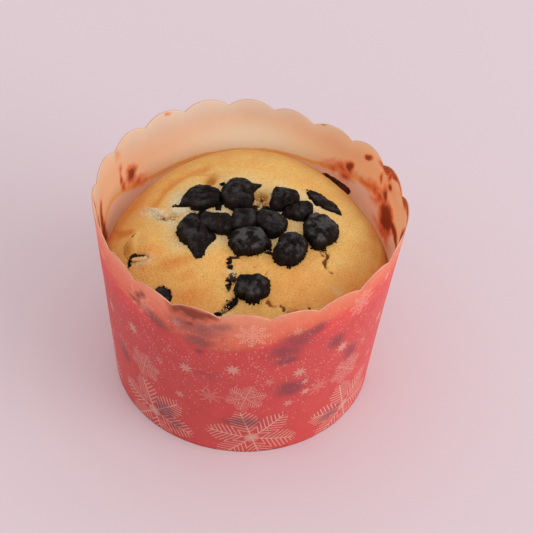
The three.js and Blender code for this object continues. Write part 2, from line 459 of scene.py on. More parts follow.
@dataclass(frozen=True)
class CakeForm:
    """The cake's side against the paper, and its dome."""

    cup: CupForm
    clearance: float = 0.3
    bottom_round: float = 1.2
    crown_height: float = 47.5
    edge_height: float = 37.2
    edge_tilt: float = 2.8
    edge_tilt_at: float = -45.0
    dome_power: float = 2.4
    dome_root: float = 0.625
    shrunk_depth: float = 7.0
    edge_gap: float = 0.25
    edge_shrinks: tuple[Lobe, ...] = lobes((25, 4.4, 34), (150, 2.2, 32))
    swells: tuple[Swell, ...] = (
        Swell(-22.5, -9.5, 1.3, 3.6),
        Swell(-12, 1, -0.7, 4),
        Swell(-9, 11.4, -1.3, 1.8),
        Swell(2.2, 3.6, -1.2, 2.0),
        Swell(8, -18, 0.5, 7),
        Swell(-9, -15, 0.5, 6),
        Swell(21, -4, 0.4, 6),
    )
    terrace_radius: float = 25.5
    terrace_drop: float = 0.9
    terrace_width: float = 1.2
    terrace: tuple[Lobe, ...] = lobes((140, 1, 42))
    relief_fade: float = 1 / 3

    @property
    def bottom(self) -> float:
        """Height of the cake's flat bottom, just above the cup's base panel."""
        return self.cup.panel_height + self.cup.paper + self.clearance

    def side_radius(self, angle: Array, height: Array) -> Array:
        """The side where it lies against the paper."""
        return self.cup.wall_radius(angle, height) - self.cup.paper - self.clearance

    def edge(self, angle: Array) -> tuple[Array, Array]:
        """Height at which the dome begins at each angle, and the cake's radius there."""
        height = self.edge_height + self.edge_tilt * np.cos(np.radians(angle - self.edge_tilt_at))
        return height, self.side_radius(angle, height) - self.edge_gap - lobes_at(self.edge_shrinks, angle)

    def height(self, x: Array, y: Array) -> Array:
        """The dome: a rounded crown on the sloping edge, with its swells and a low step at the back left."""
        radius = np.hypot(x, y)
        angle = np.degrees(np.arctan2(y, x))
        edge_height, edge_radius = self.edge(angle)
        share = np.minimum(1, radius / edge_radius)
        rise = (1 - share**self.dome_power) ** self.dome_root
        swelling = sum(s.by * bell(np.hypot(x - s.x, y - s.y), s.spread) for s in self.swells)
        step = 1 / (1 + np.exp(-(radius - self.terrace_radius) / self.terrace_width))
        relief = swelling - self.terrace_drop * step * lobes_at(self.terrace, angle)
        dome = edge_height + (self.crown_height - edge_height) * rise
        return dome + relief * np.minimum(1, rise / self.relief_fade)

    def bed(self, x: float, y: float, reach: float = 1.5) -> tuple[Array, Array]:
        """Where something lies on the dome.

        Args:
            x, y: its middle in plan.
            reach: half the stretch of surface that sets its lean.

        Returns:
            The point on the dome, and the turn that takes +Z to the surface's normal.
        """
        here = np.array([x, y, float(self.height(np.array(x), np.array(y)))])
        sides_x = self.height(np.array([x + reach, x - reach]), np.array([y, y]))
        sides_y = self.height(np.array([x, x]), np.array([y + reach, y - reach]))
        normal = np.array([sides_x[1] - sides_x[0], sides_y[1] - sides_y[0], 2 * reach])
        normal /= np.linalg.norm(normal)
        axis = np.array([[0, 0, normal[0]], [0, 0, normal[1]], [-normal[0], -normal[1], 0]])
        return here, np.eye(3) + axis + axis @ axis / (1 + normal[2])


@dataclass(frozen=True)
class Mark:
    """An oval mark. On the wall x is an angle and y a height, on the dome both are millimetres."""

    x: float
    y: float
    long: float
    wide: float
    turn: float = 0.0
    weight: float = 1.0

    def distance(self, right: Array, up: Array) -> Array:
        """Distance from the middle in the mark's own turned frame, 1 on its outline."""
        c, s = math.cos(math.radians(self.turn)), math.sin(math.radians(self.turn))
        return np.hypot((right * c + up * s) / self.long, (up * c - right * s) / self.wide)


def marks(*rows: tuple[float, float, float, float, float, float]) -> tuple[Mark, ...]:
    """Marks from rows of their place, half length, half width, turn and weight."""
    return tuple(Mark(*row) for row in rows)


def crisp(spots: Iterable[Mark], offsets: Offsets) -> Array:
    """Marks with an outline: each is a cone from its weight at the middle to 0 at its edge, and on below."""
    cones = [mark.weight * (1 - mark.distance(*offset)) for mark, offset in zip(spots, offsets)]
    return np.maximum(np.max(cones, axis=0), -2)


def soft(spots: Iterable[Mark], offsets: Offsets) -> Array:
    """Marks without an outline: the strongest of their bell curves."""
    bells = [mark.weight * bell(mark.distance(*offset)) for mark, offset in zip(spots, offsets)]
    return np.max(bells, axis=0)


def wall_offsets(spots: Iterable[Mark], angle: Array, height: Array, radius: float) -> Offsets:
    """How far wall points lie from each mark, along the arc and upwards, in millimetres."""
    return [(np.radians(turn_between(mark.x, angle)) * radius, height - mark.y) for mark in spots]


def dome_offsets(spots: Iterable[Mark], x: Array, y: Array) -> Offsets:
    """How far points of the dome lie from each mark, in plan."""
    return [(x - mark.x, y - mark.y) for mark in spots]


@dataclass(frozen=True)
class Stroke:
    """A line drawn over the dome through some points: a crack, a crease or a streak."""

    points: tuple[tuple[float, float], ...]
    width: float
    depth: float = 0.0

    def distance(self, x: Array, y: Array) -> Array:
        """Distance in plan from the nearest stretch, in the stroke's half widths."""
        nearest = np.full(x.shape, np.inf)
        for (ax, ay), (bx, by) in zip(self.points, self.points[1:]):
            run = np.array([bx - ax, by - ay])
            along = np.clip(((x - ax) * run[0] + (y - ay) * run[1]) / (run @ run), 0, 1)
            nearest = np.minimum(nearest, np.hypot(x - ax - along * run[0], y - ay - along * run[1]))
        return nearest / (self.width / 2)


# ---------------------------------------------------------------- shared shader groups


def grain_group(pore_share: float = 0.72) -> Tree:
    """Grain for any dry surface: coarse mottling, fine grain and small pores.

    Args:
        pore_share: the share of cells that stay closed.

    Returns:
        The group. Size is the grain's in millimetres, Mottle and Grain lie round 0.5, Pore is 1 in a pore.
    """
    graph = GroupGraph("grain", {"Size": 0.5}, ("Vector",))
    place, size = graph.given["Vector"], graph.given["Size"]
    fine = graph.over(1 / MM, size)
    coarse = {"Vector": place, "Scale": graph.over(fine, 9.0), "Detail": 3.0}
    mottle = graph.node("ShaderNodeTexNoise", coarse)
    grain = graph.node("ShaderNodeTexNoise", coarse | {"Scale": fine, "Roughness": 0.6})
    cells = graph.node("ShaderNodeTexVoronoi", {"Vector": place, "Scale": graph.times(fine, 0.6)}).outputs
    chance = graph.node("ShaderNodeSeparateColor", {0: cells[1]}).outputs[0]
    graph.put_out("Mottle", mottle.outputs[0])
    graph.put_out("Grain", grain.outputs[0])
    open_cell = graph.math("GREATER_THAN", chance, pore_share)
    graph.put_out("Pore", graph.times(graph.step(cells[0], 0.3, 0.12), open_cell))
    return graph.tree


def flake_start(graph: GroupGraph, cup: CupForm) -> tuple[Socket, Socket]:
    """The place on the wall as seen from the nearest copy of a flake, in polar coordinates.

    The angle from its middle is folded by Repeat, and times the wall's radius it is the arc to the side.

    Args:
        graph: a group with Angle, Height, At, Level, Turn, Arms and Repeat.
        cup: for the wall's taper.

    Returns:
        Distance from the flake's middle, and the angle from its nearest arm in radians.
    """
    given = graph.given
    aside = graph.fold(graph.minus(given["Angle"], given["At"]), given["Repeat"])
    taper = (cup.rim_radius - cup.foot_radius) / cup.cusp_height
    radius = graph.math("MULTIPLY_ADD", given["Height"], taper, cup.foot_radius)
    right = graph.times(graph.math("RADIANS", aside), radius)
    up = graph.minus(given["Height"], given["Level"])
    away = graph.math("SQRT", graph.plus(graph.times(right, right), graph.times(up, up)))
    turned = graph.minus(graph.math("DEGREES", graph.math("ARCTAN2", up, right)), given["Turn"])
    from_arm = graph.fold(turned, graph.over(360.0, given["Arms"]))
    return away, graph.math("RADIANS", from_arm)


WALL_INPUTS = {"Angle": 0.0, "Height": 0.0, "Repeat": 45.0}
FLAKE_INPUTS = WALL_INPUTS | {"At": 0.0, "Level": 0.0, "Turn": 0.0, "Arms": 6.0}


def fern_group(cup: CupForm, slant: float = 0.72) -> Tree:
    """A snowflake of thin arms with slanting barbs, like fern leaves.

    Along an arm, a barb starts every Pitch and slants outwards, so the place where a point's barb starts is
    its distance along the arm less its distance across times the slant. Barbs are shorter at an arm's ends.

    Args:
        cup: for the wall's taper.
        slant: of the barbs.

    Returns:
        The group, whose Mask is 1 on the print.
    """
    numbers = FLAKE_INPUTS | {"Reach": 10.0, "Line": 0.3, "Pitch": 1.0, "Barb": 3.0}
    graph = GroupGraph("fern_flake", numbers)
    reach, line, pitch, barb = (graph.given[name] for name in ("Reach", "Line", "Pitch", "Barb"))
    away, from_arm = flake_start(graph, cup)
    along = graph.times(away, graph.math("COSINE", from_arm))
    across = graph.times(away, graph.math("ABSOLUTE", graph.math("SINE", from_arm)))
    start = graph.minus(along, graph.times(across, slant))
    core = graph.times(line, 0.35)
    stem = graph.times(graph.step(across, line, core), graph.step(along, reach, graph.minus(reach, 0.25)))
    thread = graph.step(graph.math("ABSOLUTE", graph.fold(start, pitch)), line, core)
    share = graph.over(start, reach)
    taper = graph.times(graph.step(share, 0.02, 0.34), graph.scale(share, 0.55, 1.0, 1.0, 0.3))
    length = graph.times(barb, taper)
    short_enough = graph.step(across, length, graph.minus(length, 0.2))
    barbs = graph.times(thread, graph.times(graph.step(share, 1.0, 0.97), short_enough))
    graph.put_out("Mask", graph.math("MAXIMUM", stem, barbs))
    return graph.tree


def petal_group(cup: CupForm) -> Tree:
    """A small solid star of petals: its reach falls from each petal's line to a waist between two petals.

    Args:
        cup: for the wall's taper.

    Returns:
        The group, whose Mask is 1 on the print.
    """
    graph = GroupGraph("petal_flake", FLAKE_INPUTS | {"Reach": 2.0, "Waist": 0.4, "Edge": 0.25})
    away, from_arm = flake_start(graph, cup)
    half_petal = graph.over(math.pi, graph.given["Arms"])
    fall = graph.math("POWER", graph.over(graph.math("ABSOLUTE", from_arm), half_petal), 0.7)
    lost = graph.times(fall, graph.minus(1.0, graph.given["Waist"]))
    outline = graph.times(graph.given["Reach"], graph.minus(1.0, lost))
    graph.put_out("Mask", graph.step(away, outline, graph.minus(outline, graph.given["Edge"])))
    return graph.tree


def snow_group(cup: CupForm) -> Tree:
    """Fine snow between the flakes: one dot in some cells of a net over the wall, thick in swirling bands.

    Args:
        cup: for the wall's taper.

    Returns:
        The group, whose Mask is 1 on a dot.
    """
    graph = GroupGraph("snow_dots", WALL_INPUTS | {"Cell": 0.66})
    height = graph.given["Height"]
    aside = graph.fold(graph.given["Angle"], graph.given["Repeat"])
    right = graph.times(graph.math("RADIANS", aside), (cup.foot_radius + cup.rim_radius) / 2)
    spot = graph.node("ShaderNodeCombineXYZ", {"X": right, "Y": height}).outputs[0]
    net = {"Vector": spot, "Scale": graph.over(1.0, graph.given["Cell"])}
    cells = graph.node("ShaderNodeTexVoronoi", net).outputs
    chance = graph.node("ShaderNodeSeparateColor", {0: cells[1]}).outputs
    swirl = {"Vector": spot, "Scale": 0.16, "Detail": 1.0, "Distortion": 1.2}
    from_band = graph.minus(graph.node("ShaderNodeTexNoise", swirl).outputs[0], 0.5)
    band = graph.step(graph.math("ABSOLUTE", from_band), 0.14, 0.03)
    window = graph.times(graph.step(height, 14.0, 24.0), graph.step(height, 48.0, 42.0))
    density = graph.math("MULTIPLY_ADD", graph.times(band, window), 0.9, 0.16)
    size = graph.scale(chance[1], 0.0, 1.0, 0.16, 0.34)
    dot = graph.step(cells[0], size, graph.times(size, 0.4))
    graph.put_out("Mask", graph.times(dot, graph.math("LESS_THAN", chance[0], density)))
    return graph.tree


# ---------------------------------------------------------------- paper cup

FIBRE = 0.35
FIBRE_BUMP = 0.03
CLOUDY = (0.3, 0.7)
PAPER_SPECULAR = 0.35


def greasy_paper(graph: MaterialGraph, base: Socket, fibre: Socket) -> Material:
    """Greasy baking paper: dull, and thin enough for light to come through from the other face.

    Args:
        graph: the material's.
        base: its colour.
        fibre: its grain, round 0.5.

    Returns:
        The finished material.
    """
    dull = graph.scale(fibre, 0.3, 0.7, 0.5, 0.66)
    inputs = {"Base Color": base, "Roughness": dull, "Specular IOR Level": PAPER_SPECULAR}
    through = {"Subsurface Weight": 1.0, "Subsurface Scale": 1.0 * MM, "Subsurface Radius": (2.0, 1.3, 1.1)}
    return graph.surface(inputs | through, fibre, FIBRE_BUMP)


@dataclass(frozen=True)
class Stain:
    """Grease and chocolate on paper: a ragged core with a softer, paler halo round it."""

    halo: Colour
    core: Colour
    rag_size: float = 1.4
    rag: float = 0.9
    halo_span: Span = (-0.45, 0.35)
    halo_cover: float = 0.75
    core_span: Span = (0.1, 0.95)
    core_cover: float = 0.92

    def over(self, graph: Graph, base: Socket, place: Socket) -> Socket:
        """Lays the marks over a paper's colour.

        Args:
            graph: the material's. It reads the field smear from the mesh, 0 on a mark's outline.
            base: the paper's colour.
            place: object coordinates.

        Returns:
            The paper's colour with the marks on it.
        """
        rag = graph.centred(graph.noise(place, self.rag_size), self.rag)
        smear = graph.plus(graph.field("smear"), rag)
        base = graph.mix(graph.step(smear, *self.halo_span), base, self.halo, self.halo_cover)
        return graph.mix(graph.step(smear, *self.core_span), base, self.core, self.core_cover)


class FlakeKind(Enum):
    """How a printed flake is drawn."""

    FERN = "fern_flake"
    PETALS = "petal_flake"


FERN, PETALS = FlakeKind.FERN, FlakeKind.PETALS


@dataclass(frozen=True)
class Flake:
    """One flake of the print, repeated round the cup."""

    kind: FlakeKind
    at: float
    level: float
    reach: float
    strength: float
    arms: int = 6
    turn: float = 0.0
    repeat: float = 45.0
    shape: Mapping[str, float] = field(default_factory=dict)


def barbs(line: float, pitch: float, barb: float) -> dict[str, float]:
    """A fern's shape: the width of its lines, and its barbs' spacing and length."""
    return {"Line": line, "Pitch": pitch, "Barb": barb}


@dataclass(frozen=True)
class PrintedPaper:
    """The outer face: red print with pale snow, painted light as glow and coral above the cake's edge, and
    painted shade where what lies inside shows through.
    """

    cup: CupForm
    deep: Colour = srgb(212, 73, 70)
    # glow and coral are painted light: the light that shines through the thin paper above the cake's edge,
    # glow in a band at the edge and coral higher up.
    glow_lit_through: Colour = srgb(212, 99, 72)
    glow_lit_through_span: Span = (-1.6, 0.8)
    coral_lit_through: Colour = srgb(214, 136, 108)
    coral_lit_through_span: Span = (0.0, 9.0)
    cloud: Colour = srgb(246, 240, 240)
    snow: Colour = srgb(222, 186, 166)
    snow_cover: float = 0.78
    mist_cover: float = 0.5
    mist_cell: float = 0.42
    # Painted shade: dark mauve blots where the chips and cake behind the greasy paper show through, partly the
    # chocolate's own dark and partly their shade; the snow in them is painted darker too.
    shade_through: Colour = srgb(96, 56, 68)
    shade_through_cover: float = 0.66
    snow_shaded_through: Colour = srgb(190, 172, 180)
    snow_shaded_through_cover: float = 0.75
    stain: Stain = Stain(srgb(162, 76, 46), srgb(104, 42, 22))
    flakes: tuple[Flake, ...] = (
        Flake(FERN, -83.3, 5.8, 10.2, 0.7, turn=47, shape=barbs(0.21, 1.12, 3.3)),
        Flake(PETALS, -83.3, 5.8, 1.9, 0.5, turn=17, shape={"Waist": 0.35}),
        Flake(FERN, -86.8, 21.0, 4.5, 0.46, turn=15, shape=barbs(0.15, 0.62, 1.7)),
        Flake(PETALS, -92.2, 31.2, 2.1, 0.5, 8, 8),
        Flake(PETALS, -66.0, 28.4, 2.1, 0.45, 8, 20),
        Flake(PETALS, -69.2, 17.6, 1.6, 0.36, turn=10),
        Flake(FERN, -56.2, 20.4, 2.8, 0.22, 8, 5, shape=barbs(0.26, 0.9, 0.5)),
        Flake(PETALS, -78.2, 26.8, 1.4, 0.22),
        Flake(FERN, -85.6, 43.5, 3.9, 0.36, 8, shape=barbs(0.26, 0.75, 1.0)),
        Flake(PETALS, -68.8, 43.3, 1.7, 0.36, 8, 12),
        Flake(PETALS, -63.1, 24.2, 1.3, 0.5, turn=30, repeat=360),
        Flake(PETALS, -62.3, 20.4, 1.5, 0.5, repeat=360),
    )

    def ink(self, graph: Graph, place: Mapping[str, Socket]) -> Socket:
        """The print's cover at each place on the wall: the strongest of all flakes and the fine snow.

        Args:
            graph: the material's.
            place: Angle round the wall in degrees, and Height up it in millimetres.

        Returns:
            The cover, from 0 to 1.
        """
        trees = {FERN: fern_group(self.cup), PETALS: petal_group(self.cup)}
        dots = snow_group(self.cup)
        snow = graph.times(graph.group(dots, place)[0], self.snow_cover)
        mist = graph.times(graph.group(dots, {**place, "Cell": self.mist_cell})[0], self.mist_cover)
        cover = graph.math("MAXIMUM", snow, mist)
        for flake in self.flakes:
            inputs = {"At": flake.at, "Level": flake.level, "Turn": flake.turn, "Arms": float(flake.arms)}
            inputs |= {**place, "Repeat": flake.repeat, "Reach": flake.reach, **flake.shape}
            mask = graph.group(trees[flake.kind], inputs)[0]
            cover = graph.math("MAXIMUM", cover, graph.times(mask, flake.strength))
        return cover

    def material(self, grain: Tree) -> Material:
        """Builds the material.

        Args:
            grain: the shared grain group.

        Returns:
            The material. It reads the fields above, bruise and smear from the mesh.
        """
        graph = MaterialGraph("printed_paper")
        place, fibre = graph.grained(grain, FIBRE)
        x, y, z = graph.node("ShaderNodeSeparateXYZ", {0: place}).outputs
        spot = {"Angle": graph.math("DEGREES", graph.math("ARCTAN2", y, x)), "Height": graph.over(z, MM)}
        above = graph.plus(graph.field("above"), graph.centred(graph.noise(place, 5.0, 2.0), 1.6))
        # Painted light: the red turns to glow and then coral above the soaked line, where light shines through
        # the paper.
        base = graph.mix(graph.step(above, *self.glow_lit_through_span), self.deep, self.glow_lit_through)
        base = graph.mix(graph.scale(above, *self.coral_lit_through_span), base, self.coral_lit_through)
        base = graph.tint(graph.scale(fibre["Mottle"], *CLOUDY), base, self.cloud)
        # Painted shade showing through from the chips behind the paper, with the snow in it darkened too.
        rag = graph.centred(graph.noise(place, 2.2), 0.5)
        shaded_through = graph.step(graph.plus(graph.field("shade_through"), rag), 0.0, 1.0)
        base = graph.mix(shaded_through, base, self.shade_through, self.shade_through_cover)
        pale = graph.tint(graph.times(shaded_through, self.snow_shaded_through_cover), self.snow, self.snow_shaded_through)
        base = graph.mix(self.ink(graph, spot), base, pale)
        return greasy_paper(graph, self.stain.over(graph, base, place), fibre["Grain"])


@dataclass(frozen=True)
class SoakedPaper:
    """The inner face: dry cream paper on top, greasy downwards and painted lighter near the cake and at the
    back, standing for light through the paper, a pink band under an orange tide line, and brown smears.
    """

    greasy: Colour = srgb(224, 188, 166)
    dry: Colour = srgb(206, 186, 172)
    dry_span: Span = (7.0, 13.0)
    # The greasy paper near the cake, painted lighter for the light that comes through the paper there.
    wet_and_lit: Colour = srgb(250, 206, 182)
    wet_and_lit_span: Span = (8.0, 2.5)
    # Painted light: the back of the wall is made lighter towards the tide line, standing for light that comes
    # through the paper.
    painted_light: Colour = srgb(250, 226, 206)
    painted_light_span: Span = (12.0, 3.0)
    tan: Colour = srgb(246, 228, 208)
    # The pink band of soaked paper just under the tide line, painted lighter for the light that comes through
    # the paper into the shaded gap by the cake.
    soaked_and_lit: Colour = srgb(255, 200, 184)
    soaked_and_lit_span: Span = (-0.2, -1.0)
    tide: Colour = srgb(250, 178, 104)
    tide_top: Span = (0.9, 0.3)
    tide_foot: Span = (-0.8, -0.3)
    tide_cover: float = 0.85
    stain: Stain = Stain(srgb(214, 118, 62), srgb(122, 52, 22))

    def material(self, grain: Tree) -> Material:
        """Builds the material.

        Args:
            grain: the shared grain group.

        Returns:
            The material. It reads the fields above, smear, tan, and the one for painted light at the back,
            from the mesh.
        """
        graph = MaterialGraph("soaked_paper")
        place, fibre = graph.grained(grain, FIBRE)
        above = graph.plus(graph.field("above"), graph.centred(graph.noise(place, 3.5), 1.4))
        base = graph.mix(graph.step(above, *self.dry_span), self.greasy, self.dry)
        base = graph.mix(graph.step(above, *self.wet_and_lit_span), base, self.wet_and_lit)
        # Painted light at the back of the wall, near the tide line.
        painted_lit = graph.times(graph.field("painted_light"), graph.step(above, *self.painted_light_span))
        base = graph.mix(painted_lit, base, self.painted_light)
        base = graph.tint(graph.field("tan"), base, self.tan)
        # The soaked pink band under the tide line, partly painted light.
        base = graph.mix(graph.step(above, *self.soaked_and_lit_span), base, self.soaked_and_lit)
        line = graph.times(graph.step(above, *self.tide_top), graph.step(above, *self.tide_foot))
        base = graph.mix(line, base, self.tide, self.tide_cover)
        return greasy_paper(graph, self.stain.over(graph, base, place), fibre["Grain"])


@dataclass(frozen=True)
class BarePaper:
    """The cut edge, the hem and the base panel: plain pale paper."""

    colour: Colour = srgb(222, 166, 142)
    cloud: Colour = srgb(240, 226, 220)
    roughness: float = 0.62

    def material(self, grain: Tree) -> Material:
        """Builds the material from the shared grain group."""
        graph = MaterialGraph("bare_paper")
        _, fibre = graph.grained(grain, FIBRE)
        base = graph.tint(graph.scale(fibre["Mottle"], *CLOUDY), self.colour, self.cloud)
        inputs = {"Base Color": base, "Roughness": self.roughness, "Specular IOR Level": PAPER_SPECULAR}
        return graph.surface(inputs, fibre["Grain"], FIBRE_BUMP)


class Face(Enum):
    """The cup's faces, in the order of its materials."""

    PRINT = 0
    INSIDE = 1
    BARE = 2


@dataclass
class PaperCup:
    """The cup as one closed shell: base panel, hem, wall, rim and the wall's inner face."""

    form: CupForm
    columns_per_scallop: int = 24
    wall_rows: int = 90
    rim_rows: int = 3
    rim_thin: float = 0.26
    rim_round: float = 0.08
    hem_lift: float = 0.2
    hem_round: float = 0.1
    panel_rings: tuple[float, float] = (9, 19)
    sag: Lumps = Lumps(0.16, 9.0, 2, 5)
    # The soaked line on the outer face, the cake's edge behind the paper: above it light is painted as shining
    # through.
    soaked_and_lit_level: float = 41.2
    soaked_and_lit: tuple[Lobe, ...] = lobes((-40, 4.0, 28), (-100, -3.4, 20))
    tide_level: float = 35.9
    tide_tilt: float = 3.1
    tide_at: float = 5.0
    tide_lobes: tuple[Lobe, ...] = lobes((163, 5.0, 17), (34, 1.3, 10))
    # Where the back of the inner face is painted lighter, for light coming through the paper.
    painted_light: tuple[Lobe, ...] = lobes((88, 1, 26))
    tanned: tuple[Lobe, ...] = lobes((24, 1, 42), (170, 0.9, 34))
    wander: Lumps = Lumps(0.8, 2.0, 2, 61)
    # Blots of painted shade where chips and cake lie behind the paper, by angle and height; the last is a
    # broad shaded stretch.
    shades_through: tuple[Mark, ...] = marks(
        (-123.1, 40.6, 4.4, 1.9, -20, 1.1), (-110.5, 44.2, 4.2, 3.2, 0, 0.95), (-104, 43.6, 5.0, 3.2, 8, 0.95),
        (-97.5, 45.6, 3.6, 1.8, 16, 0.9), (-105.5, 39.6, 3.8, 2.2, -6, 1.1), (-110, 38.8, 3.4, 1.1, -25, 0.7),
        (-96.4, 41.6, 0.9, 1.1, 0, 0.7), (-105.2, 36.0, 1.1, 0.9, 0, 1.0), (-61.4, 42.3, 3.0, 1.9, 20, 1.15),
        (-68.2, 40.6, 5.0, 3.0, 12, 1.0), (-72.5, 37.2, 4.2, 3.2, 0, 0.95), (-71.8, 33.8, 3.0, 1.3, 6, 1.15),
        (-69.0, 23.1, 3.8, 3.0, 0, 1.15), (-51.0, 34.7, 2.5, 2.6, 45, 1.0), (-41.4, 27.2, 2.2, 3.1, 40, 0.95),
        (-46.5, 6.1, 3.8, 1.5, 10, 1.1), (-87.0, 11.9, 4.2, 1.7, -4, 1.25), (-92.5, 11.6, 2.4, 1.2, 0, 0.8),
        (-122.3, 8.2, 3.2, 3.0, 35, 1.2), (-116.8, 4.8, 2.4, 1.6, 30, 1.0), (-146.0, 18.2, 2.0, 3.4, 25, 0.9),
        (-102, 27.9, 4.6, 2.6, -10, 0.4),
    )
    outer_smears: tuple[Mark, ...] = marks(
        (-108.5, 48.6, 5.6, 2.2, -4, 1.7), (-102.8, 48.9, 3.8, 1.3, -8, 1.4), (-114.2, 47.9, 1.9, 1.7, 0, 1.2),
        (-131.4, 45.0, 1.6, 1.0, 30, 1.0), (-133.9, 42.6, 1.5, 1.0, 0, 1.0), (-129.0, 46.4, 0.9, 1.3, 0, 0.9),
        (-131.8, 42.9, 0.8, 1.8, 0, 0.6), (-107.2, 46.2, 0.9, 0.6, 0, 0.9), (-109.2, 44.3, 1.1, 0.8, 0, 1.0),
        (-115.6, 40.8, 0.6, 0.5, 0, 0.8),
    )
    inner_smears: tuple[Mark, ...] = marks(
        (146.9, 39.3, 2.1, 2.8, 12, 1.5), (143.4, 36.0, 2.6, 1.2, 20, 0.34), (153.1, 40.9, 0.7, 3.4, 0, 0.95),
        (152.2, 38.0, 1.0, 1.4, 0, 0.9), (153.0, 47.5, 0.7, 0.9, 0, 0.3), (173.4, 41.7, 1.1, 2.2, 0, 1.5),
        (175.0, 39.0, 1.6, 3.4, 0, 1.8), (174.8, 35.6, 1.9, 3.2, 0, 1.6), (173.8, 32.4, 1.8, 2.6, -6, 1.1),
        (-177.8, 47.8, 0.6, 2.4, 0, 1.2), (-177.2, 44.6, 0.7, 2.6, 0, 1.2), (-179.6, 41.2, 0.8, 2.6, 0, 1.3),
        (36.8, 47.4, 1.7, 0.9, -38, 1.7), (45.2, 41.6, 1.6, 1.9, 0, 1.6), (48.7, 39.8, 3.0, 1.7, 0, 0.6),
        (52.6, 38.7, 2.8, 1.1, 0, 0.4), (47.2, 38.0, 1.8, 1.4, 0, 0.6), (60.3, 50.4, 1.2, 0.6, 0, 1.3),
        (125.1, 49.8, 0.8, 0.6, 0, 0.7), (26.4, 48.9, 2.9, 1.5, -8, 2.0), (20.5, 50.0, 3.6, 1.1, 0, 1.9),
        (13.5, 50.2, 3.0, 1.0, 0, 1.9), (7.5, 49.4, 3.2, 2.0, 0, 2.2), (2.0, 50.0, 3.0, 1.3, 0, 2.0),
        (-3.6, 50.1, 2.4, 1.2, 0, 1.8), (22.0, 48.3, 1.0, 1.4, 0, 1.4), (27.0, 45.4, 0.8, 1.2, 0, 1.2),
        (20.2, 46.1, 1.1, 1.4, 0, 1.6), (22.4, 42.6, 1.2, 2.8, -6, 1.3), (18.0, 37.9, 4.6, 4.4, 0, 2.2),
        (20.6, 35.8, 2.4, 2.6, 0, 1.0), (10.2, 38.8, 3.2, 1.4, 0, 1.6), (5.0, 38.9, 3.2, 1.4, 0, 1.6),
        (0.4, 38.7, 2.8, 1.2, 0, 1.4), (-4.2, 43.6, 1.8, 3.4, 0, 2.2), (-6.6, 46.6, 1.4, 2.8, 0, 2.0),
        (18.6, 33.2, 3.8, 1.2, 0, 0.5), (34.0, 40.0, 3.2, 1.0, 0, 0.4), (30.2, 40.7, 2.6, 1.8, 0, 0.55),
        (26.4, 40.2, 2.4, 2.4, 0, 0.6), (28.0, 38.2, 2.4, 1.2, 0, 0.4),
    )

    def wall(self, angle: Array, share: Array, inset: Array) -> Array:
        """The wall as a surface of the angle round it and the share of the way up to the rim.

        The height is the share times the rim's height there, and the radius is the taper's with a slight sag:
        noise a scallop wide that grows towards the free rim. Insets count inwards.

        Args:
            angle: round the cup, one for each column.
            share: from 0 at the foot to 1 at the rim, one for each row.
            inset: one for each row.

        Returns:
            Points, by row and column.
        """
        height = share * self.form.rim_height(angle)
        turned = np.broadcast_to(np.radians(angle), height.shape)
        across, ahead = np.cos(turned), np.sin(turned)
        spots = np.stack([self.form.foot_radius * across, self.form.foot_radius * ahead, height], axis=-1)
        radius = self.form.wall_radius(angle, height) + self.sag.at(spots) * (0.3 + share**3) - inset
        return np.stack([radius * across, radius * ahead, height], axis=-1)

    def disc(self, angle: Array, *rings: tuple[float, float]) -> Array:
        """Round rings, one for each radius and height, by row and column."""
        turned = np.radians(angle)
        across, ahead = np.cos(turned), np.sin(turned)
        return np.stack([np.stack([r * across, r * ahead, 0 * turned + z], axis=-1) for r, z in rings])

    def fields(self, points: Array, outside: Array) -> dict[str, Array]:
        """The values that the papers read.

        Args:
            points: of the whole cup.
            outside: whether each lies on the base panel's underside or the outer face.

        Returns:
            Height above the soaked line outside, above which light is painted, or above the tide line inside,
            painted shade showing through, smears, painted light at the back inside, and tanned stretches, by
            name.
        """
        heights, angles = points[:, 2], np.degrees(np.arctan2(points[:, 1], points[:, 0]))
        soaked_and_lit = heights - self.soaked_and_lit_level - lobes_at(self.soaked_and_lit, angles)
        tide = heights - self.tide_level - self.tide_tilt * np.cos(np.radians(angles - self.tide_at))
        reach = self.form.rim_radius
        aside, ahead = self.wander.at(points), self.wander.at(points, 1)
        blurred = angles + np.degrees(aside / reach), heights + ahead, reach
        outer = crisp(self.outer_smears, wall_offsets(self.outer_smears, *blurred))
        inner = crisp(self.inner_smears, wall_offsets(self.inner_smears, *blurred))
        return {
            "above": np.where(outside, soaked_and_lit, tide - lobes_at(self.tide_lobes, angles)),
            "shade_through": soft(self.shades_through, wall_offsets(self.shades_through, angles, heights, reach)),
            "smear": np.where(outside, outer, inner),
            "painted_light": np.clip(lobes_at(self.painted_light, angles), 0, 1),
            "tan": np.clip(lobes_at(self.tanned, angles), 0, 1),
        }

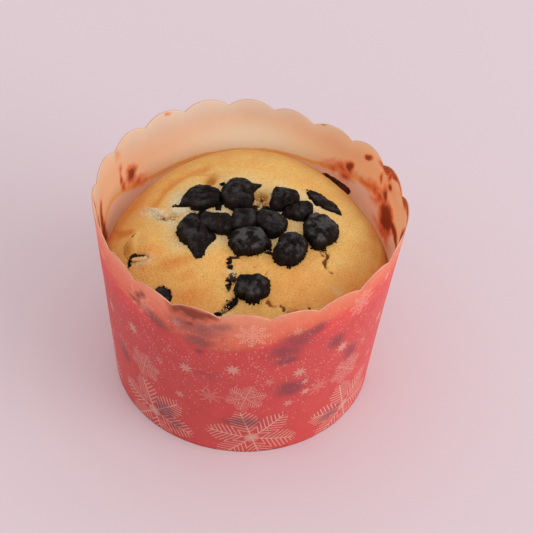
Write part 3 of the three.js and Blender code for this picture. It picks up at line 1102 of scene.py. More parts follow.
    def build(self) -> Thing:
        """Stacks the rings: out under the base panel, up the outside, over the rim and down the inside.

        Returns:
            The cup, with its fields and the three materials' faces marked.
        """
        form = self.form
        columns = form.scallops * self.columns_per_scallop
        angle = form.first_cusp + np.arange(columns) * 360 / columns
        near, far = self.panel_rings
        panel, floor = form.panel_height, form.panel_height + form.paper
        foot, fold = form.foot_radius, form.foot_radius - form.hem
        hem = (fold, panel), (fold, self.hem_lift), (fold + self.hem_round, 0), (foot - self.hem_round, 0)
        under = self.disc(angle, (near, panel), (far, panel), *hem)
        share = np.linspace(0, 1, self.wall_rows)[:, None]
        outer = self.wall(angle, share, np.zeros_like(share))
        round_in = np.linspace(0, 1, self.rim_rows + 2)[1:-1, None]
        rim = self.wall(angle, np.ones_like(round_in), round_in * self.rim_thin)
        rim[..., 2] += self.rim_round * np.sin(np.pi * round_in)
        thick = self.rim_thin + (form.paper - self.rim_thin) * ease(share, 1.0, 0.9)
        down = np.linspace(1, floor / form.cusp_height, self.wall_rows)[:, None]
        inner = self.wall(angle, down, thick[::-1])
        inner[-1, :, 2] = floor
        rings = np.concatenate([under, outer, rim, inner, self.disc(angle, (far, floor), (near, floor))])
        points = np.vstack([[0, 0, panel], rings.reshape(-1, 3), [0, 0, floor]])
        outside = np.arange(len(points)) <= (len(under) + len(outer)) * columns
        cup = make_object("paper_wall", points, ring_faces(len(rings), columns), self.fields(points, outside))
        bands = (Face.BARE, Face.PRINT, Face.BARE, Face.INSIDE)
        rows = np.array([len(under) + 1, len(outer) - 1, len(rim) + 1, len(inner) + 2])
        indices = np.repeat([band.value for band in bands], rows * columns)
        cup.data.polygons.foreach_set("material_index", indices.astype(np.int32))
        return cup

    def dress(self, cup: Thing, grain: Tree) -> None:
        """Gives the cup its three papers, in the order of its faces."""
        papers = PrintedPaper(self.form), SoakedPaper(), BarePaper()
        finish_piece(cup, Slot.PAPER, [paper.material(grain) for paper in papers], ["paper_cup"])


# ---------------------------------------------------------------- chocolate chips


@dataclass(frozen=True)
class Chip:
    """One chip: middle in plan, length, width, height above the cake and turn, as its solid has them.

    Its lobes push the outline out or in round directions in plan, flatness evens out its top, and ragged and
    brown say how broken its rim and how brown its melted chocolate is. A chip with a bare line is under a skin
    of batter everywhere else.
    """

    name: str
    x: float
    y: float
    long: float
    wide: float
    tall: float
    turn: float
    tails: tuple[tuple[float, float], ...] = ()
    lobes: tuple[Lobe, ...] = ()
    flatness: float = 2.1
    ragged: float = 1.0
    brown: float = 0.0
    shine: float = 0.35
    bare: Stroke | None = None

    def oval(self, angle: Array) -> Array:
        """Distance from the middle to the chip's plain oval, by the angle from its length in radians."""
        a, b = self.long / 2, self.wide / 2
        return a * b / np.hypot(b * np.cos(angle), a * np.sin(angle))

    def reach(self, angle: Array, tail_sharpness: float = 9.0) -> Array:
        """The outline in its own turned frame: an ellipse with its drawn-out tails and lobes.

        Args:
            angle: from its length, in radians.
            tail_sharpness: how narrow a tail is.

        Returns:
            The distance from the middle to the outline.
        """
        outline = self.oval(angle)
        for at, by in self.tails:
            outline = outline + by * np.exp(-tail_sharpness * (1 - np.cos(angle - math.radians(at))))
        return outline + lobes_at(self.lobes, np.degrees(angle) + self.turn)


CHIPS = (
    Chip("middle_front", 0.5, -10.2, 8.7, 6.7, 2.7, -4, (), lobes((48, 0.6, 18), (-128, 0.7, 16)), shine=1.0),
    Chip("middle", -0.9, -3.7, 6.8, 5.6, 2.0, 68, (), lobes((50, 0.4, 16), (128, 0.6, 16), (-122, 0.3, 14))),
    Chip("middle_right", 5.2, -4.0, 8.0, 5.8, 1.8, -32, (),
         lobes((-88, 0.8, 16), (135, 0.5, 16), (-24, -0.6, 22), (62, 0.3, 16)), 2.4),
    Chip("back_middle", -2.7, 4.2, 9.2, 7.4, 2.4, -84, ((108, 0.5),),
         lobes((43, 2.5, 8), (14, -1.7, 12), (-46, 0.9, 14), (62, 1.1, 14), (100, 0.4, 20))),
    Chip("left", -12.2, -6.5, 8.6, 6.4, 2.0, -68, ((-6, 3.2), (50, 2.4)),
         lobes((-74, 1.0, 9), (-95, -1.2, 12), (10, -1.7, 22), (80, 1.1, 14), (135, -0.8, 26)), 1.8),
    Chip("middle_left", -6.6, -4.8, 8.0, 5.6, 1.7, -16, (),
         lobes((-45, 0.7, 13), (-8, -0.7, 20), (-160, 0.5, 15), (52, 0.6, 15), (142, 0.9, 16)), 2.4),
    Chip("back_left", -10.5, 3.8, 8.8, 6.6, 1.9, -3, ((186, 0.6),),
         lobes((172, -0.7, 18), (201, 2.9, 5), (-30, 0.8, 14), (-92, 0.5, 22), (100, 0.5, 22))),
    Chip("back_right", 7.7, 3.8, 7.6, 6.2, 2.1, 78, (),
         lobes((-74, -1.1, 22), (-126, 0.8, 15), (132, 0.7, 14), (-36, -0.6, 14), (40, 0.3, 14))),
    Chip("right_inner", 11.2, 0.6, 7.2, 4.6, 1.7, 32, ((30, 0.6),),
         lobes((-170, 0.8, 16), (-130, -0.5, 16), (72, 0.5, 15), (18, -0.6, 16), (-68, 0.4, 16))),
    Chip("far_right_flat", 16.4, 6.0, 9.8, 3.8, 0.7, -38, (),
         lobes((-46, -0.5, 9), (-38, 0.5, 4), (60, -0.3, 50), (-136, 0.5, 15)), 2.4, 1.6),
    Chip("right", 15.9, -4.8, 9.0, 7.4, 2.5, -84, (),
         lobes((-64, -0.6, 17), (-110, 0.6, 17), (110, 0.7, 18)), shine=1.0),
    Chip("front_right", 9.4, -11.2, 9.0, 7.0, 2.7, 69, (),
         lobes((170, -0.9, 20), (-76, 0.5, 18), (-135, 0.3, 20)), shine=0.6),
    Chip("front", 1.9, -21.9, 7.3, 6.7, 2.7, 7, ((172, 0.5),),
         lobes((-128, -0.7, 14), (-45, -0.5, 20), (166, -0.5, 12), (140, 0.4, 8)), 1.8, 1.6, shine=0.6),
    Chip("far_left_front", -17.0, -22.0, 4.4, 2.8, 0.9, -50),
    Chip("far_left_sliver", -23.2, -12.2, 4.6, 1.6, 0.5, -12,
         bare=Stroke(((-25.4, -12.2), (-25.0, -11.6), (-24.2, -11.6), (-23.2, -11.8), (-22.2, -12.2)), 1.0)),
    Chip("right_shoulder", 20.0, 18.8, 9.0, 2.4, 0.9, -47, (),
         lobes((-47, -0.6, 12), (133, 0.9, 6), (43, -0.6, 50), (-137, -0.4, 50)), brown=1.0),
)
MIDDLE_CHIPS = CHIPS[1:9]

CHIP_FOLDS = (
    Stroke(((0.2, -10.9), (-0.3, -11.9), (-0.7, -12.8), (-1.6, -12.0)), 0.7, 0.55),
    Stroke(((-0.7, -12.8), (-0.4, -14.4)), 0.7, 0.5),
    Stroke(((-10.6, -4.3), (-10.8, -6.2), (-10.6, -8.3)), 0.6, 0.5),
    Stroke(((-10.4, -8.8), (-8.8, -9.4), (-7.4, -9.2)), 1.0, 0.5),
    Stroke(((-5.2, -5.4), (-5.5, -7.2)), 0.6, 0.45),
    Stroke(((-7.8, -5.1), (-8.0, -6.9)), 0.6, 0.4),
    Stroke(((-3.7, -1.6), (-3.3, -5.4), (-3.2, -8.3)), 0.9, 1.0),
    Stroke(((8.1, -12.7), (8.5, -11.2), (9.6, -10.7), (10.5, -11.7), (10.1, -13.2)), 0.7, 0.5),
    Stroke(((7.5, -12.9), (8.2, -14.5), (9.8, -15.1), (11.2, -13.7), (11.6, -11.3), (10.9, -10.0)), 0.6, 0.4),
    Stroke(((-5.9, 2.6), (-5.6, 5.3), (-4.4, 6.8), (-2.8, 7.4), (-1.0, 6.8)), 0.6, 0.4),
    Stroke(((-6.4, 4.8), (-6.1, 1.8), (-5.3, -0.5)), 0.9, 0.8),
    Stroke(((-1.8, 4.4), (-0.9, 3.4), (-0.2, 3.5)), 0.7, 0.6),
    Stroke(((14.0, -3.7), (14.6, -6.3), (14.8, -9.7)), 0.6, 0.45),
    Stroke(((16.2, -4.2), (17.3, -5.5), (18.0, -7.9)), 0.6, 0.3),
    Stroke(((7.6, 4.2), (7.0, 2.0), (7.7, -0.1)), 0.8, 0.6),
    Stroke(((8.5, 2.6), (9.2, 1.4), (9.0, -0.3)), 0.7, 0.5),
    Stroke(((11.0, 2.2), (10.8, -0.2), (11.8, -1.9)), 0.7, 0.5),
    Stroke(((-13.9, 3.3), (-12.0, 4.7), (-9.8, 5.1), (-8.0, 3.9)), 0.6, 0.35),
    Stroke(((-11.8, 1.5), (-9.4, 2.4), (-7.0, 2.1)), 0.7, 0.4),
    Stroke(((4.7, -2.4), (5.7, -4.2), (7.3, -5.5)), 0.6, 0.35),
    Stroke(((0.4, -21.6), (0.9, -22.4)), 1.1, 0.6),
)


@dataclass(frozen=True)
class Chocolate:
    """Baked chocolate: nearly black and dull, with softly shining smooth places on top, greyed partly by bloom
    and partly as a painted sheen.
    """

    dark: Colour = (0.006, 0.0032, 0.0026, 1.0)
    brown: Colour = (0.017, 0.0085, 0.006, 1.0)
    brown_span: Span = (0.4, 0.7)
    melted: Colour = (0.075, 0.011, 0.004, 1.0)
    smooth_span: Span = (0.42, 0.66)
    smoothest: float = 0.6
    # Grey laid on the smooth places: partly bloom on the chocolate, partly a painted sheen for their bluish
    # highlights.
    bloom_and_sheen: Colour = (0.031, 0.026, 0.026, 1.0)
    bloom_and_sheen_cover: float = 0.6
    batter: Colour = srgb(238, 196, 130)
    batter_span: Span = (0.4, 0.6)
    roughness: Span = (0.6, 0.3)
    reflection: Span = (0.1, 0.62)
    grain_size: float = 0.26
    grain_bump: float = 0.2

    def material(self, grain: Tree) -> Material:
        """Builds the material. Roughness and reflection run from the rough skin's to the smoothest's.

        Args:
            grain: the shared grain group.

        Returns:
            The material. It reads the fields crown, 1 on a chip's top, brown, and veil, 1 under batter.
        """
        graph = MaterialGraph("baked_chocolate")
        place, rough = graph.grained(grain, self.grain_size)
        base = graph.mix(graph.scale(rough["Mottle"], *self.brown_span), self.dark, self.brown)
        base = graph.mix(graph.field("brown"), base, self.melted)
        patch = graph.step(graph.noise(place, 2.0, roughness=0.55), *self.smooth_span)
        smooth = graph.times(patch, graph.field("crown"))
        # Bloom and painted sheen on the smooth places.
        base = graph.mix(smooth, base, self.bloom_and_sheen, self.bloom_and_sheen_cover)
        ragged = graph.centred(graph.noise(place, 0.7), 0.8)
        veiled = graph.step(graph.plus(graph.field("veil"), ragged), *self.batter_span)
        inputs = {"Base Color": graph.mix(veiled, base, self.batter)}
        inputs["Roughness"] = graph.scale(smooth, 0.0, self.smoothest, *self.roughness)
        inputs["Specular IOR Level"] = graph.scale(smooth, 0.0, self.smoothest, *self.reflection)
        return graph.surface(inputs, rough["Grain"], self.grain_bump)


@dataclass
class ChipMaker:
    """Builds the chips: flattened drops with ragged rims, crumpled skins and folded tops.

    Waves and teeth break the outline. The skin lies a little higher, creases and grit crumple it, and sway
    bends it. Chips lower than a full crumple or fold are crumpled and folded less.
    """

    cake: CakeForm
    columns: int = 180
    rows: int = 84
    seed: int = 11
    sunk: float = 1.6
    plumpness: float = 0.78
    thinning: float = 0.9
    waves: Lumps = Lumps(0.1, 1 / 3, 2, 0)
    teeth: Lumps = Lumps(0.07, 1 / 14, 3, 9)
    skin: float = 0.07
    creases: Lumps = Lumps(-0.24, 3.0, 2, 20, creased=True)
    grit: Lumps = Lumps(0.09, 0.7, 2, 30, creased=True)
    sway: Lumps = Lumps(0.24, 4.2, 2, 40)
    full_crumple: float = 1.4
    full_fold: float = 1.6

    def points(self, chip: Chip, seed: int) -> tuple[Array, Array]:
        """The chip's surface as a function of its angle and its polar angle.

        The plan is the outline times a power of the polar sine, and the height is its cosine times the height
        above or the depth below, and less beyond the plain oval. Crumpled noise in several sizes pushes the
        surface out along the drop's own slope, and then every fold that crosses the top lowers it by a bell
        curve of the distance from the fold.

        Args:
            chip: the chip.
            seed: of its noise.

        Returns:
            The points from the lower pole up, and the share of crown at each.
        """
        angle = np.linspace(0, 2 * np.pi, self.columns, endpoint=False)[None, :]
        polar = np.linspace(np.pi, 0, self.rows + 2)[1:-1, None]
        share, rise = np.sin(polar), np.cos(polar)
        circle = np.stack([np.cos(angle), np.sin(angle), np.zeros_like(angle)], axis=-1)
        ragged = self.waves.at(circle, seed) + self.teeth.at(circle, seed)
        out = chip.reach(angle) * (1 + chip.ragged * ragged * share**4) * share**self.plumpness
        top = chip.tall * (1 - (1 - np.clip(rise, 0, 1)) ** chip.flatness)
        top = top * np.exp(-np.maximum(0, out - chip.oval(angle)) / self.thinning)
        height = np.where(rise > 0, top, self.sunk * rise)
        local = np.stack([out * np.cos(angle), out * np.sin(angle), height * np.ones_like(angle)], axis=-1)
        drop = np.vstack([[0, 0, -self.sunk], local.reshape(-1, 3), [0, 0, chip.tall]])
        slope = drop / np.array([chip.long / 2, chip.wide / 2, chip.tall]) ** 2
        slope /= np.linalg.norm(slope, axis=1, keepdims=True)
        bumps = self.skin + sum(lumps.at(drop, seed) for lumps in (self.creases, self.grit, self.sway))
        drop = drop + slope * (bumps * min(1.0, chip.tall / self.full_crumple))[:, None]
        turn = math.radians(chip.turn)
        c, s = math.cos(turn), math.sin(turn)
        spin = np.array([[c, -s, 0], [s, c, 0], [0, 0, 1]])
        here, lean = self.cake.bed(chip.x, chip.y)
        points = drop @ (lean @ spin).T + here
        crown = np.repeat([0, *ease(rise, 0.3, 0.8).ravel(), 1], [1] + [self.columns] * self.rows + [1])
        folded = np.max([fold.depth * bell(fold.distance(*points.T[:2])) for fold in CHIP_FOLDS], axis=0)
        points[:, 2] -= folded * crown * min(1.0, chip.tall / self.full_fold)
        return points, crown

    def build(self, material: Material) -> None:
        """Makes every chip, each in place of its own solid."""
        faces = ring_faces(self.rows, self.columns)
        for number, chip in enumerate(CHIPS):
            points, crown = self.points(chip, 100 * number + self.seed)
            veil = 1.0 - bell(chip.bare.distance(*points.T[:2])) if chip.bare else 0 * crown
            fields = {"crown": chip.shine * crown, "brown": np.full_like(crown, chip.brown), "veil": veil}
            piece = make_object(f"chocolate_{chip.name}", points, faces, fields)
            finish_piece(piece, Slot.CHOCOLATE, [material], [f"chip_{chip.name}"])


# ---------------------------------------------------------------- cake


@dataclass(frozen=True)
class Crust:
    """The baked crust: cream where thin, golden, and brown round the edge, with dark cracks and stains."""

    cream: Colour = srgb(246, 222, 170)
    golden: Colour = srgb(253, 201, 115)
    golden_span: Span = (0.0, 0.5)
    brown: Colour = srgb(243, 162, 80)
    brown_span: Span = (0.5, 1.05)
    grey: Colour = srgb(242, 228, 194)
    dust_cover: float = 0.85
    # tan is laid in the hollows: partly the browner crumb, partly painted shade in the dimples.
    tan: Colour = srgb(212, 144, 60)
    speckle: Colour = srgb(224, 204, 180)
    speckle_span: Span = (0.56, 0.36)
    speckle_cover: float = 0.8
    toasted: Colour = srgb(124, 64, 22)
    pore_cover: float = 0.08
    crack_span: Span = (0.25, 0.7)
    crack_cover: float = 0.9
    melted: Colour = (0.008, 0.005, 0.004, 1.0)
    stain_span: Span = (0.0, 0.2)
    stain_cover: float = 0.97
    pore_depth: float = 0.4
    grain_size: float = 0.34
    grain_bump: float = 0.24

    def material(self, grain: Tree) -> Material:
        """Builds the material.

        Args:
            grain: the shared grain group.

        Returns:
            The material. It reads the fields for the bake, with its painted light and shade, and hollow,
            crack, stain and dusty from the mesh.
        """
        graph = MaterialGraph("baked_crust")
        place, crumb = graph.grained(grain, self.grain_size)
        patch, spots = graph.centred(graph.noise(place, 8.0), 0.7), graph.centred(crumb["Mottle"], 0.5)
        mottled = graph.plus(graph.plus(patch, spots), graph.centred(crumb["Grain"], 0.6))
        # The bake field holds the crust's browning, with painted light and painted shade added in places.
        bake = graph.plus(graph.field("bake"), mottled)
        base = graph.mix(graph.scale(bake, *self.golden_span), self.cream, self.golden)
        base = graph.mix(graph.scale(bake, *self.brown_span), base, self.brown)
        base = graph.mix(graph.field("dusty"), base, self.grey, self.dust_cover)
        # Hollows in tan: partly browner crumb, partly painted shade in the dimples.
        base = graph.mix(graph.field("hollow"), base, self.tan)
        speckled = graph.scale(crumb["Grain"], *self.speckle_span, 0.0, self.speckle_cover)
        base = graph.tint(speckled, base, self.speckle)
        base = graph.mix(crumb["Pore"], base, self.toasted, self.pore_cover)
        ragged = graph.centred(graph.noise(place, 0.8), 1.2)
        cracked = graph.step(graph.plus(graph.field("crack"), ragged), *self.crack_span)
        base = graph.mix(cracked, base, self.toasted, self.crack_cover)
        stain = graph.step(graph.plus(graph.field("stain"), ragged), *self.stain_span)
        base = graph.mix(stain, base, self.melted, self.stain_cover)
        inputs = {"Base Color": base, "Roughness": graph.scale(crumb["Grain"], 0.3, 0.7, 0.56, 0.8)}
        inputs |= {"Specular IOR Level": 0.3, "Subsurface Weight": 0.12, "Subsurface Scale": 1.5 * MM}
        inputs |= {"Subsurface Radius": (1.0, 0.55, 0.25)}
        height = graph.minus(crumb["Grain"], graph.times(crumb["Pore"], self.pore_depth))
        return graph.surface(inputs, height, self.grain_bump)


@dataclass
class Cake:
    """The cake as one closed surface of rings: bottom, side against the paper, and dome.

    Its numbers come in the order of their use: mesh, relief, baking, and then the strokes and marks.
    """

    form: CakeForm
    columns: int = 640
    dome_rows: int = 140
    side_rows: int = 8
    pocket: float = 1.0
    mounds: Lumps = Lumps(0.22, 7.0, 2, 41)
    knobs: Lumps = Lumps(0.1, 1.7, 3, 42)
    patches: Lumps = Lumps(1.5, 5.0, 2, 43)
    sand: Lumps = Lumps(0.07, 0.7, 2, 44)
    crumble: Lumps = Lumps(0.8, 1.5, 3, 45)
    crack_wander: Lumps = Lumps(0.3, 0.8, 2, 71)
    crack_change: float = 0.9
    plain_bake: float = 0.6
    cream_bake: float = 0.4
    cream_spread: float = 3.4
    edge_bake: float = 0.3
    edge_lobes: tuple[Lobe, ...] = lobes((20, 0.6, 40), (150, 0.2, 40))
    # Painted light: the bake is lowered on the right slope, so the crust is paler where the paper wall shades
    # it.
    painted_light_right: tuple[Lobe, ...] = lobes((-2, 0.14, 30))
    brown_front: tuple[Lobe, ...] = lobes((-36, 0.38, 34))
    # Painted shade: the first creases are browned along their shadowed slopes, the step at the back left most.
    shaded_creases: int = 2
    dark_pits: int = 6
    creases: tuple[Stroke, ...] = (
        Stroke(((-21.2, 4.0), (-20.2, 6.1), (-19.3, 8.8), (-18.0, 11.0),
                (-16.4, 12.6), (-14.4, 14.3), (-11, 15.4)), 2.2, 0.6),
        Stroke(((-30.2, 0.8), (-28.6, -2.0), (-27.4, -2.9), (-26.0, -3.2)), 1.4, 0.6),
        Stroke(((-13.0, 13.4), (-11.2, 13.2), (-10.0, 12.9)), 0.8, 0.3),
        Stroke(((-18.1, -2.1), (-20.0, -0.8), (-21.3, 0.5)), 0.9, 0.7),
        Stroke(((-14.5, -0.7), (-16.6, -0.4), (-18.1, -2.1)), 0.8, 0.6),
        Stroke(((-23.8, 3.4), (-21.8, 2.6), (-19.6, 0.9)), 1.1, -0.6),
        Stroke(((-17.4, 0.7), (-15.4, 1.2), (-13.2, 1.2)), 1.0, -0.7),
        Stroke(((-24.6, -4.4), (-25.2, -7.6), (-24.4, -10.2)), 1.5, -0.5),
        Stroke(((-24.8, -11.8), (-23.2, -12.2), (-21.4, -12.6)), 3.4, -0.45),
    )
    cracks: tuple[Stroke, ...] = (
        Stroke(((16.2, -8.8), (17.0, -9.7), (17.7, -10.3), (17.5, -11.5), (17.1, -12.8)), 0.7, 0.9),
        Stroke(((17.1, -12.8), (17.4, -13.8), (17.9, -14.5), (18.9, -14.9)), 0.5, 0.5),
        Stroke(((15.9, -9.4), (16.8, -10.7)), 0.6, 0.6),
        Stroke(((5.2, -24.5), (6.2, -25.0), (7.1, -25.1)), 0.8, 1.1),
        Stroke(((7.9, -24.7), (8.5, -24.9), (8.9, -25.4)), 0.8, 1.1),
        Stroke(((9.6, -26.3), (10.6, -25.6), (11.6, -25.4)), 0.6, 0.8),
        Stroke(((4.0, -18.9), (4.6, -17.4), (5.2, -16.6)), 0.35, 0.3),
        # The two strokes round the left bump draw its dark outline, partly painted shade on its shadowed left
        # side.
        Stroke(((-24.8, -4.8), (-25.3, -4.9), (-26.2, -6.0),
                (-27.0, -6.8), (-26.8, -9.0), (-25.9, -10.9)), 0.5, 0.35),
        Stroke(((-25.9, -10.9), (-25.1, -12.5), (-25.5, -13.5)), 0.5, 0.5),
        Stroke(((-20.2, 0.2), (-19.2, -0.8), (-18.4, -1.6), (-17.6, -1.6)), 0.6, 0.45),
        Stroke(((-17.0, -2.0), (-16.2, -2.4)), 0.6, 0.5),
        Stroke(((-1.2, -24.0), (-2.6, -25.5), (-4.2, -26.8)), 1.6, 1.0),
    )
    pits: tuple[Mark, ...] = marks(
        (14.3, -24.2, 0.5, 0.4, 0, 0.6), (1.9, -16.2, 0.35, 0.3, 0, 0.4), (-8.8, -18.8, 0.6, 0.4, 20, 0.35),
        (-28.7, -4.0, 0.35, 0.35, 0, 0.5), (-29.0, -5.7, 0.35, 0.5, 0, 0.4), (-29.0, -7.0, 0.4, 0.5, 0, 0.3),
        (1.2, 16.0, 1.0, 0.6, 10, 0.25), (-8.8, 10.6, 0.9, 2.0, -12, 0.7), (1.6, 4.6, 1.9, 1.3, 0, 1.0),
        (3.2, 3.0, 1.0, 1.0, 0, 0.9),
    )
    # Hollows coloured tan, partly as painted shade in them.
    hollows: tuple[Mark, ...] = marks(
        (-9.1, 10.7, 1.1, 2.1, -12, 1.6), (-11.6, 13.1, 1.5, 0.5, 0, 0.6), (0.6, 4.9, 1.6, 1.3, 0, 1.1),
        (2.8, 5.0, 1.4, 1.3, 0, 1.4), (3.4, 3.4, 1.0, 1.2, 0, 0.9), (-26.2, -8.4, 0.9, 2.2, 8, 1.0),
        (-21.4, -12.7, 1.0, 0.4, -10, 0.8),
    )
    crumbly: tuple[Mark, ...] = marks(
        (-20.0, 0.6, 4.8, 2.0, -32, 1.0), (-15.2, 0.4, 3.2, 1.6, 10, 0.9), (1.8, 4.0, 2.2, 2.0, 0, 0.8),
        (-2.8, -25.6, 3.2, 1.6, 40, 0.8), (-2.8, -18.4, 1.6, 3.2, 0, 0.6), (7.6, -25.4, 4.4, 1.4, 0, 0.8),
        (-24.0, -12.6, 2.6, 1.6, 0, 0.6), (16.9, -11.4, 1.4, 3.0, 0, 0.5), (-8.2, -8.6, 2.0, 1.2, 0, 0.6),
    )
    stains: tuple[Mark, ...] = marks(
        (-16.2, 1.8, 1.9, 0.4, 22, 1.2), (-6.2, 8.7, 0.6, 0.7, 0, 0.9), (-3.3, -15.0, 0.55, 0.9, 5, 1.4),
        (-3.2, -16.6, 0.7, 0.55, -10, 1.4), (-1.5, -24.3, 0.9, 0.7, 40, 1.5), (-2.9, -25.6, 1.3, 0.7, 42, 1.0),
        (-5.0, -27.2, 0.8, 0.5, 10, 1.6), (-24.6, -11.2, 1.0, 0.35, 0, 1.0), (-25.3, -12.4, 0.4, 1.1, 20, 1.2),
        (-25.2, -4.9, 0.5, 0.35, 0, 0.8), (2.8, 5.1, 0.5, 0.4, 0, 0.5), (9.6, -0.8, 1.9, 0.9, 10, 1.1),
        (3.6, 2.0, 1.0, 0.6, 10, 1.0), (0.9, 1.4, 1.8, 0.8, -20, 0.9), (4.6, 0.2, 1.2, 1.0, 0, 1.2),
        (-1.9, -0.2, 1.6, 0.9, 0, 1.2), (1.2, -1.0, 1.4, 0.8, 0, 1.2), (3.4, -7.4, 1.5, 1.0, -30, 1.4),
        (4.7, -9.6, 0.8, 1.8, 0, 1.4), (5.2, -12.4, 1.1, 0.5, -20, 1.0), (-6.6, 2.2, 0.8, 1.8, 0, 1.2),
        (-10.2, -1.2, 1.2, 1.0, 0, 1.0), (-3.6, -7.6, 1.0, 1.2, 0, 1.2), (-9.9, -3.4, 1.0, 1.4, 0, 1.2),
        (13.6, -0.4, 1.2, 1.0, 0, 1.2), (13.0, -8.4, 0.6, 0.9, 20, 0.8), (-2.3, -14.2, 1.2, 0.5, 0, 1.0),
        (14.3, -24.2, 0.5, 0.4, 0, 0.6), (-2.4, -19.4, 1.1, 1.5, 0, 0.7), (-3.2, -21.4, 0.7, 1.0, 0, 0.7),
    )
    dusty_spots: tuple[Mark, ...] = marks(
        (-20.4, 0.6, 3.6, 1.3, -32, 1.2), (-18.4, -2.6, 2.8, 1.0, -30, 0.8), (-15.9, 3.8, 1.8, 2.0, 0, 0.9),
        (-15.0, 0.4, 3.0, 1.2, 8, 1.3), (-6.2, -0.3, 1.4, 0.8, 0, 1.0), (-22.4, -13.0, 2.2, 1.0, 0, 0.8),
        (-26.6, -14.6, 1.2, 1.6, 0, 0.6), (-3.4, -27.6, 2.4, 0.8, 0, 0.5), (-3.0, -17.8, 1.0, 1.0, 0, 0.6),
        (20.2, -19.2, 1.2, 0.8, 0, 0.35),
    )
    brown_spots: tuple[Mark, ...] = marks(
        (-28.2, -2.2, 2.6, 1.2, -30, 0.5), (-15.6, -14.8, 4.6, 1.8, 6, 0.5), (-13.4, -18.6, 3.2, 2.2, 0, 0.3),
        (-26.0, 8.0, 2.4, 7.0, -18, 0.4), (13.5, -19.0, 10.0, 6.0, 0, 0.24), (-11.0, -23.0, 5.0, 3.6, 0, 0.42),
        (-22.0, -11.6, 3.6, 3.0, 0, 0.4), (26.4, 11.0, 1.6, 5.0, 22, 0.6), (28.0, 1.0, 1.4, 5.0, 0, 0.5),
    )

    def under_chips(self, x: Array, y: Array) -> Array:
        """How far each point of the dome lies under a chip: 0 outside its outline and 1 well inside."""
        depth = np.zeros_like(x)
        for chip in CHIPS:
            dx, dy = x - chip.x, y - chip.y
            outline = chip.reach(np.arctan2(dy, dx) - math.radians(chip.turn))
            depth = np.maximum(depth, ease(np.hypot(dx, dy) / outline, 0.96, 0.8))
        return depth

    def near_chips(self, x: Array, y: Array) -> Array:
        """1 among the chips in the middle, and fading out over a spread round them."""
        away = [np.maximum(0, np.hypot(x - chip.x, y - chip.y) - chip.long / 2) for chip in MIDDLE_CHIPS]
        return bell(np.min(away, axis=0), self.cream_spread)

    def broken(self, x: Array, y: Array) -> Array:
        """Depth of the cracks: bell curves along their strokes, which wander with fine noise."""
        spots = np.stack([x, y, np.zeros_like(x)], axis=-1)
        x, y = x + self.crack_wander.at(spots), y + self.crack_wander.at(spots, 1)
        strength = 0.75 + 0.5 * noise(spots / self.crack_change, self.crack_wander.seed + 2)
        return np.max([crack.depth * bell(crack.distance(x, y)) for crack in self.cracks], axis=0) * strength

    def crumbled(self, x: Array, y: Array) -> Array:
        """Height of the torn, crumbly places: noise of a millimetre and less, strongest in their middles."""
        spots = np.stack([x, y, np.zeros_like(x)], axis=-1)
        return soft(self.crumbly, dome_offsets(self.crumbly, x, y)) * self.crumble.at(spots)

    def relief(self, x: Array, y: Array, share: Array) -> Array:
        """Height added to the plain dome: lumps, creases, cracks, pits and the pockets of the chips.

        Args:
            x, y: in plan.
            share: 0 in the middle and 1 at the dome's edge.

        Returns:
            The height in millimetres.
        """
        spots = np.stack([x, y, np.zeros_like(x)], axis=-1)
        rough = (0.5 + np.clip(self.patches.at(spots), 0, 1)) * self.sand.at(spots) + self.crumbled(x, y)
        lumps = self.mounds.at(spots) + self.knobs.at(spots) + rough
        sunk = sum(stroke.depth * bell(stroke.distance(x, y)) for stroke in self.creases) + self.broken(x, y)
        pits = zip(self.pits, dome_offsets(self.pits, x, y))
        sunk = sunk + np.sum([pit.weight * bell(pit.distance(*offset)) for pit, offset in pits], axis=0)
        fade = ease(share, 1.0, 0.9)
        return lumps * (0.35 + 0.65 * fade) - sunk * fade - self.pocket * self.under_chips(x, y)

    def build(self) -> Thing:
        """Stacks the rings: over the bottom, up the side and over the dome to its middle.

        Returns:
            The cake, with its fields.
        """
        form = self.form
        angle = np.arange(self.columns) * 360 / self.columns
        turned = np.radians(angle)[None, :]
        edge_height, edge_radius = (row[None, :] for row in form.edge(angle))
        foot = form.side_radius(angle, np.full_like(angle, form.bottom))[None, :] - form.bottom_round
        under = foot * np.linspace(0, 1, 4)[1:, None]
        up = np.linspace(0.02, 1, self.side_rows, endpoint=False)[:, None] ** 0.8
        side_z = form.bottom + (edge_height - form.bottom) * up
        shrunk = form.side_radius(angle, edge_height) - edge_radius
        side = form.side_radius(angle, side_z) - shrunk * ease(side_z - edge_height, -form.shrunk_depth, 0)
        share = 1 - np.linspace(0, 1, self.dome_rows + 1)[:-1, None] ** 1.12
        dome = edge_radius * share
        shares = np.broadcast_to(share, dome.shape)
        x, y = dome * np.cos(turned), dome * np.sin(turned)
        dome_z = form.height(x, y) + self.relief(x, y, shares)
        radius = np.concatenate([under, side, dome])
        height = np.concatenate([np.full_like(under, form.bottom), side_z, dome_z])
        rings = np.stack([radius * np.cos(turned), radius * np.sin(turned), height], axis=-1)
        crown = float(form.height(np.zeros(1), np.zeros(1))[0]) - self.pocket
        points = np.vstack([[0, 0, form.bottom], rings.reshape(-1, 3), [0, 0, crown]])
        on_dome = np.concatenate([np.ones(1 + under.size + side.size), shares.ravel(), [0]])
        faces = ring_faces(len(rings), self.columns)
        return make_object("cake_body", points, faces, self.fields(points, on_dome))

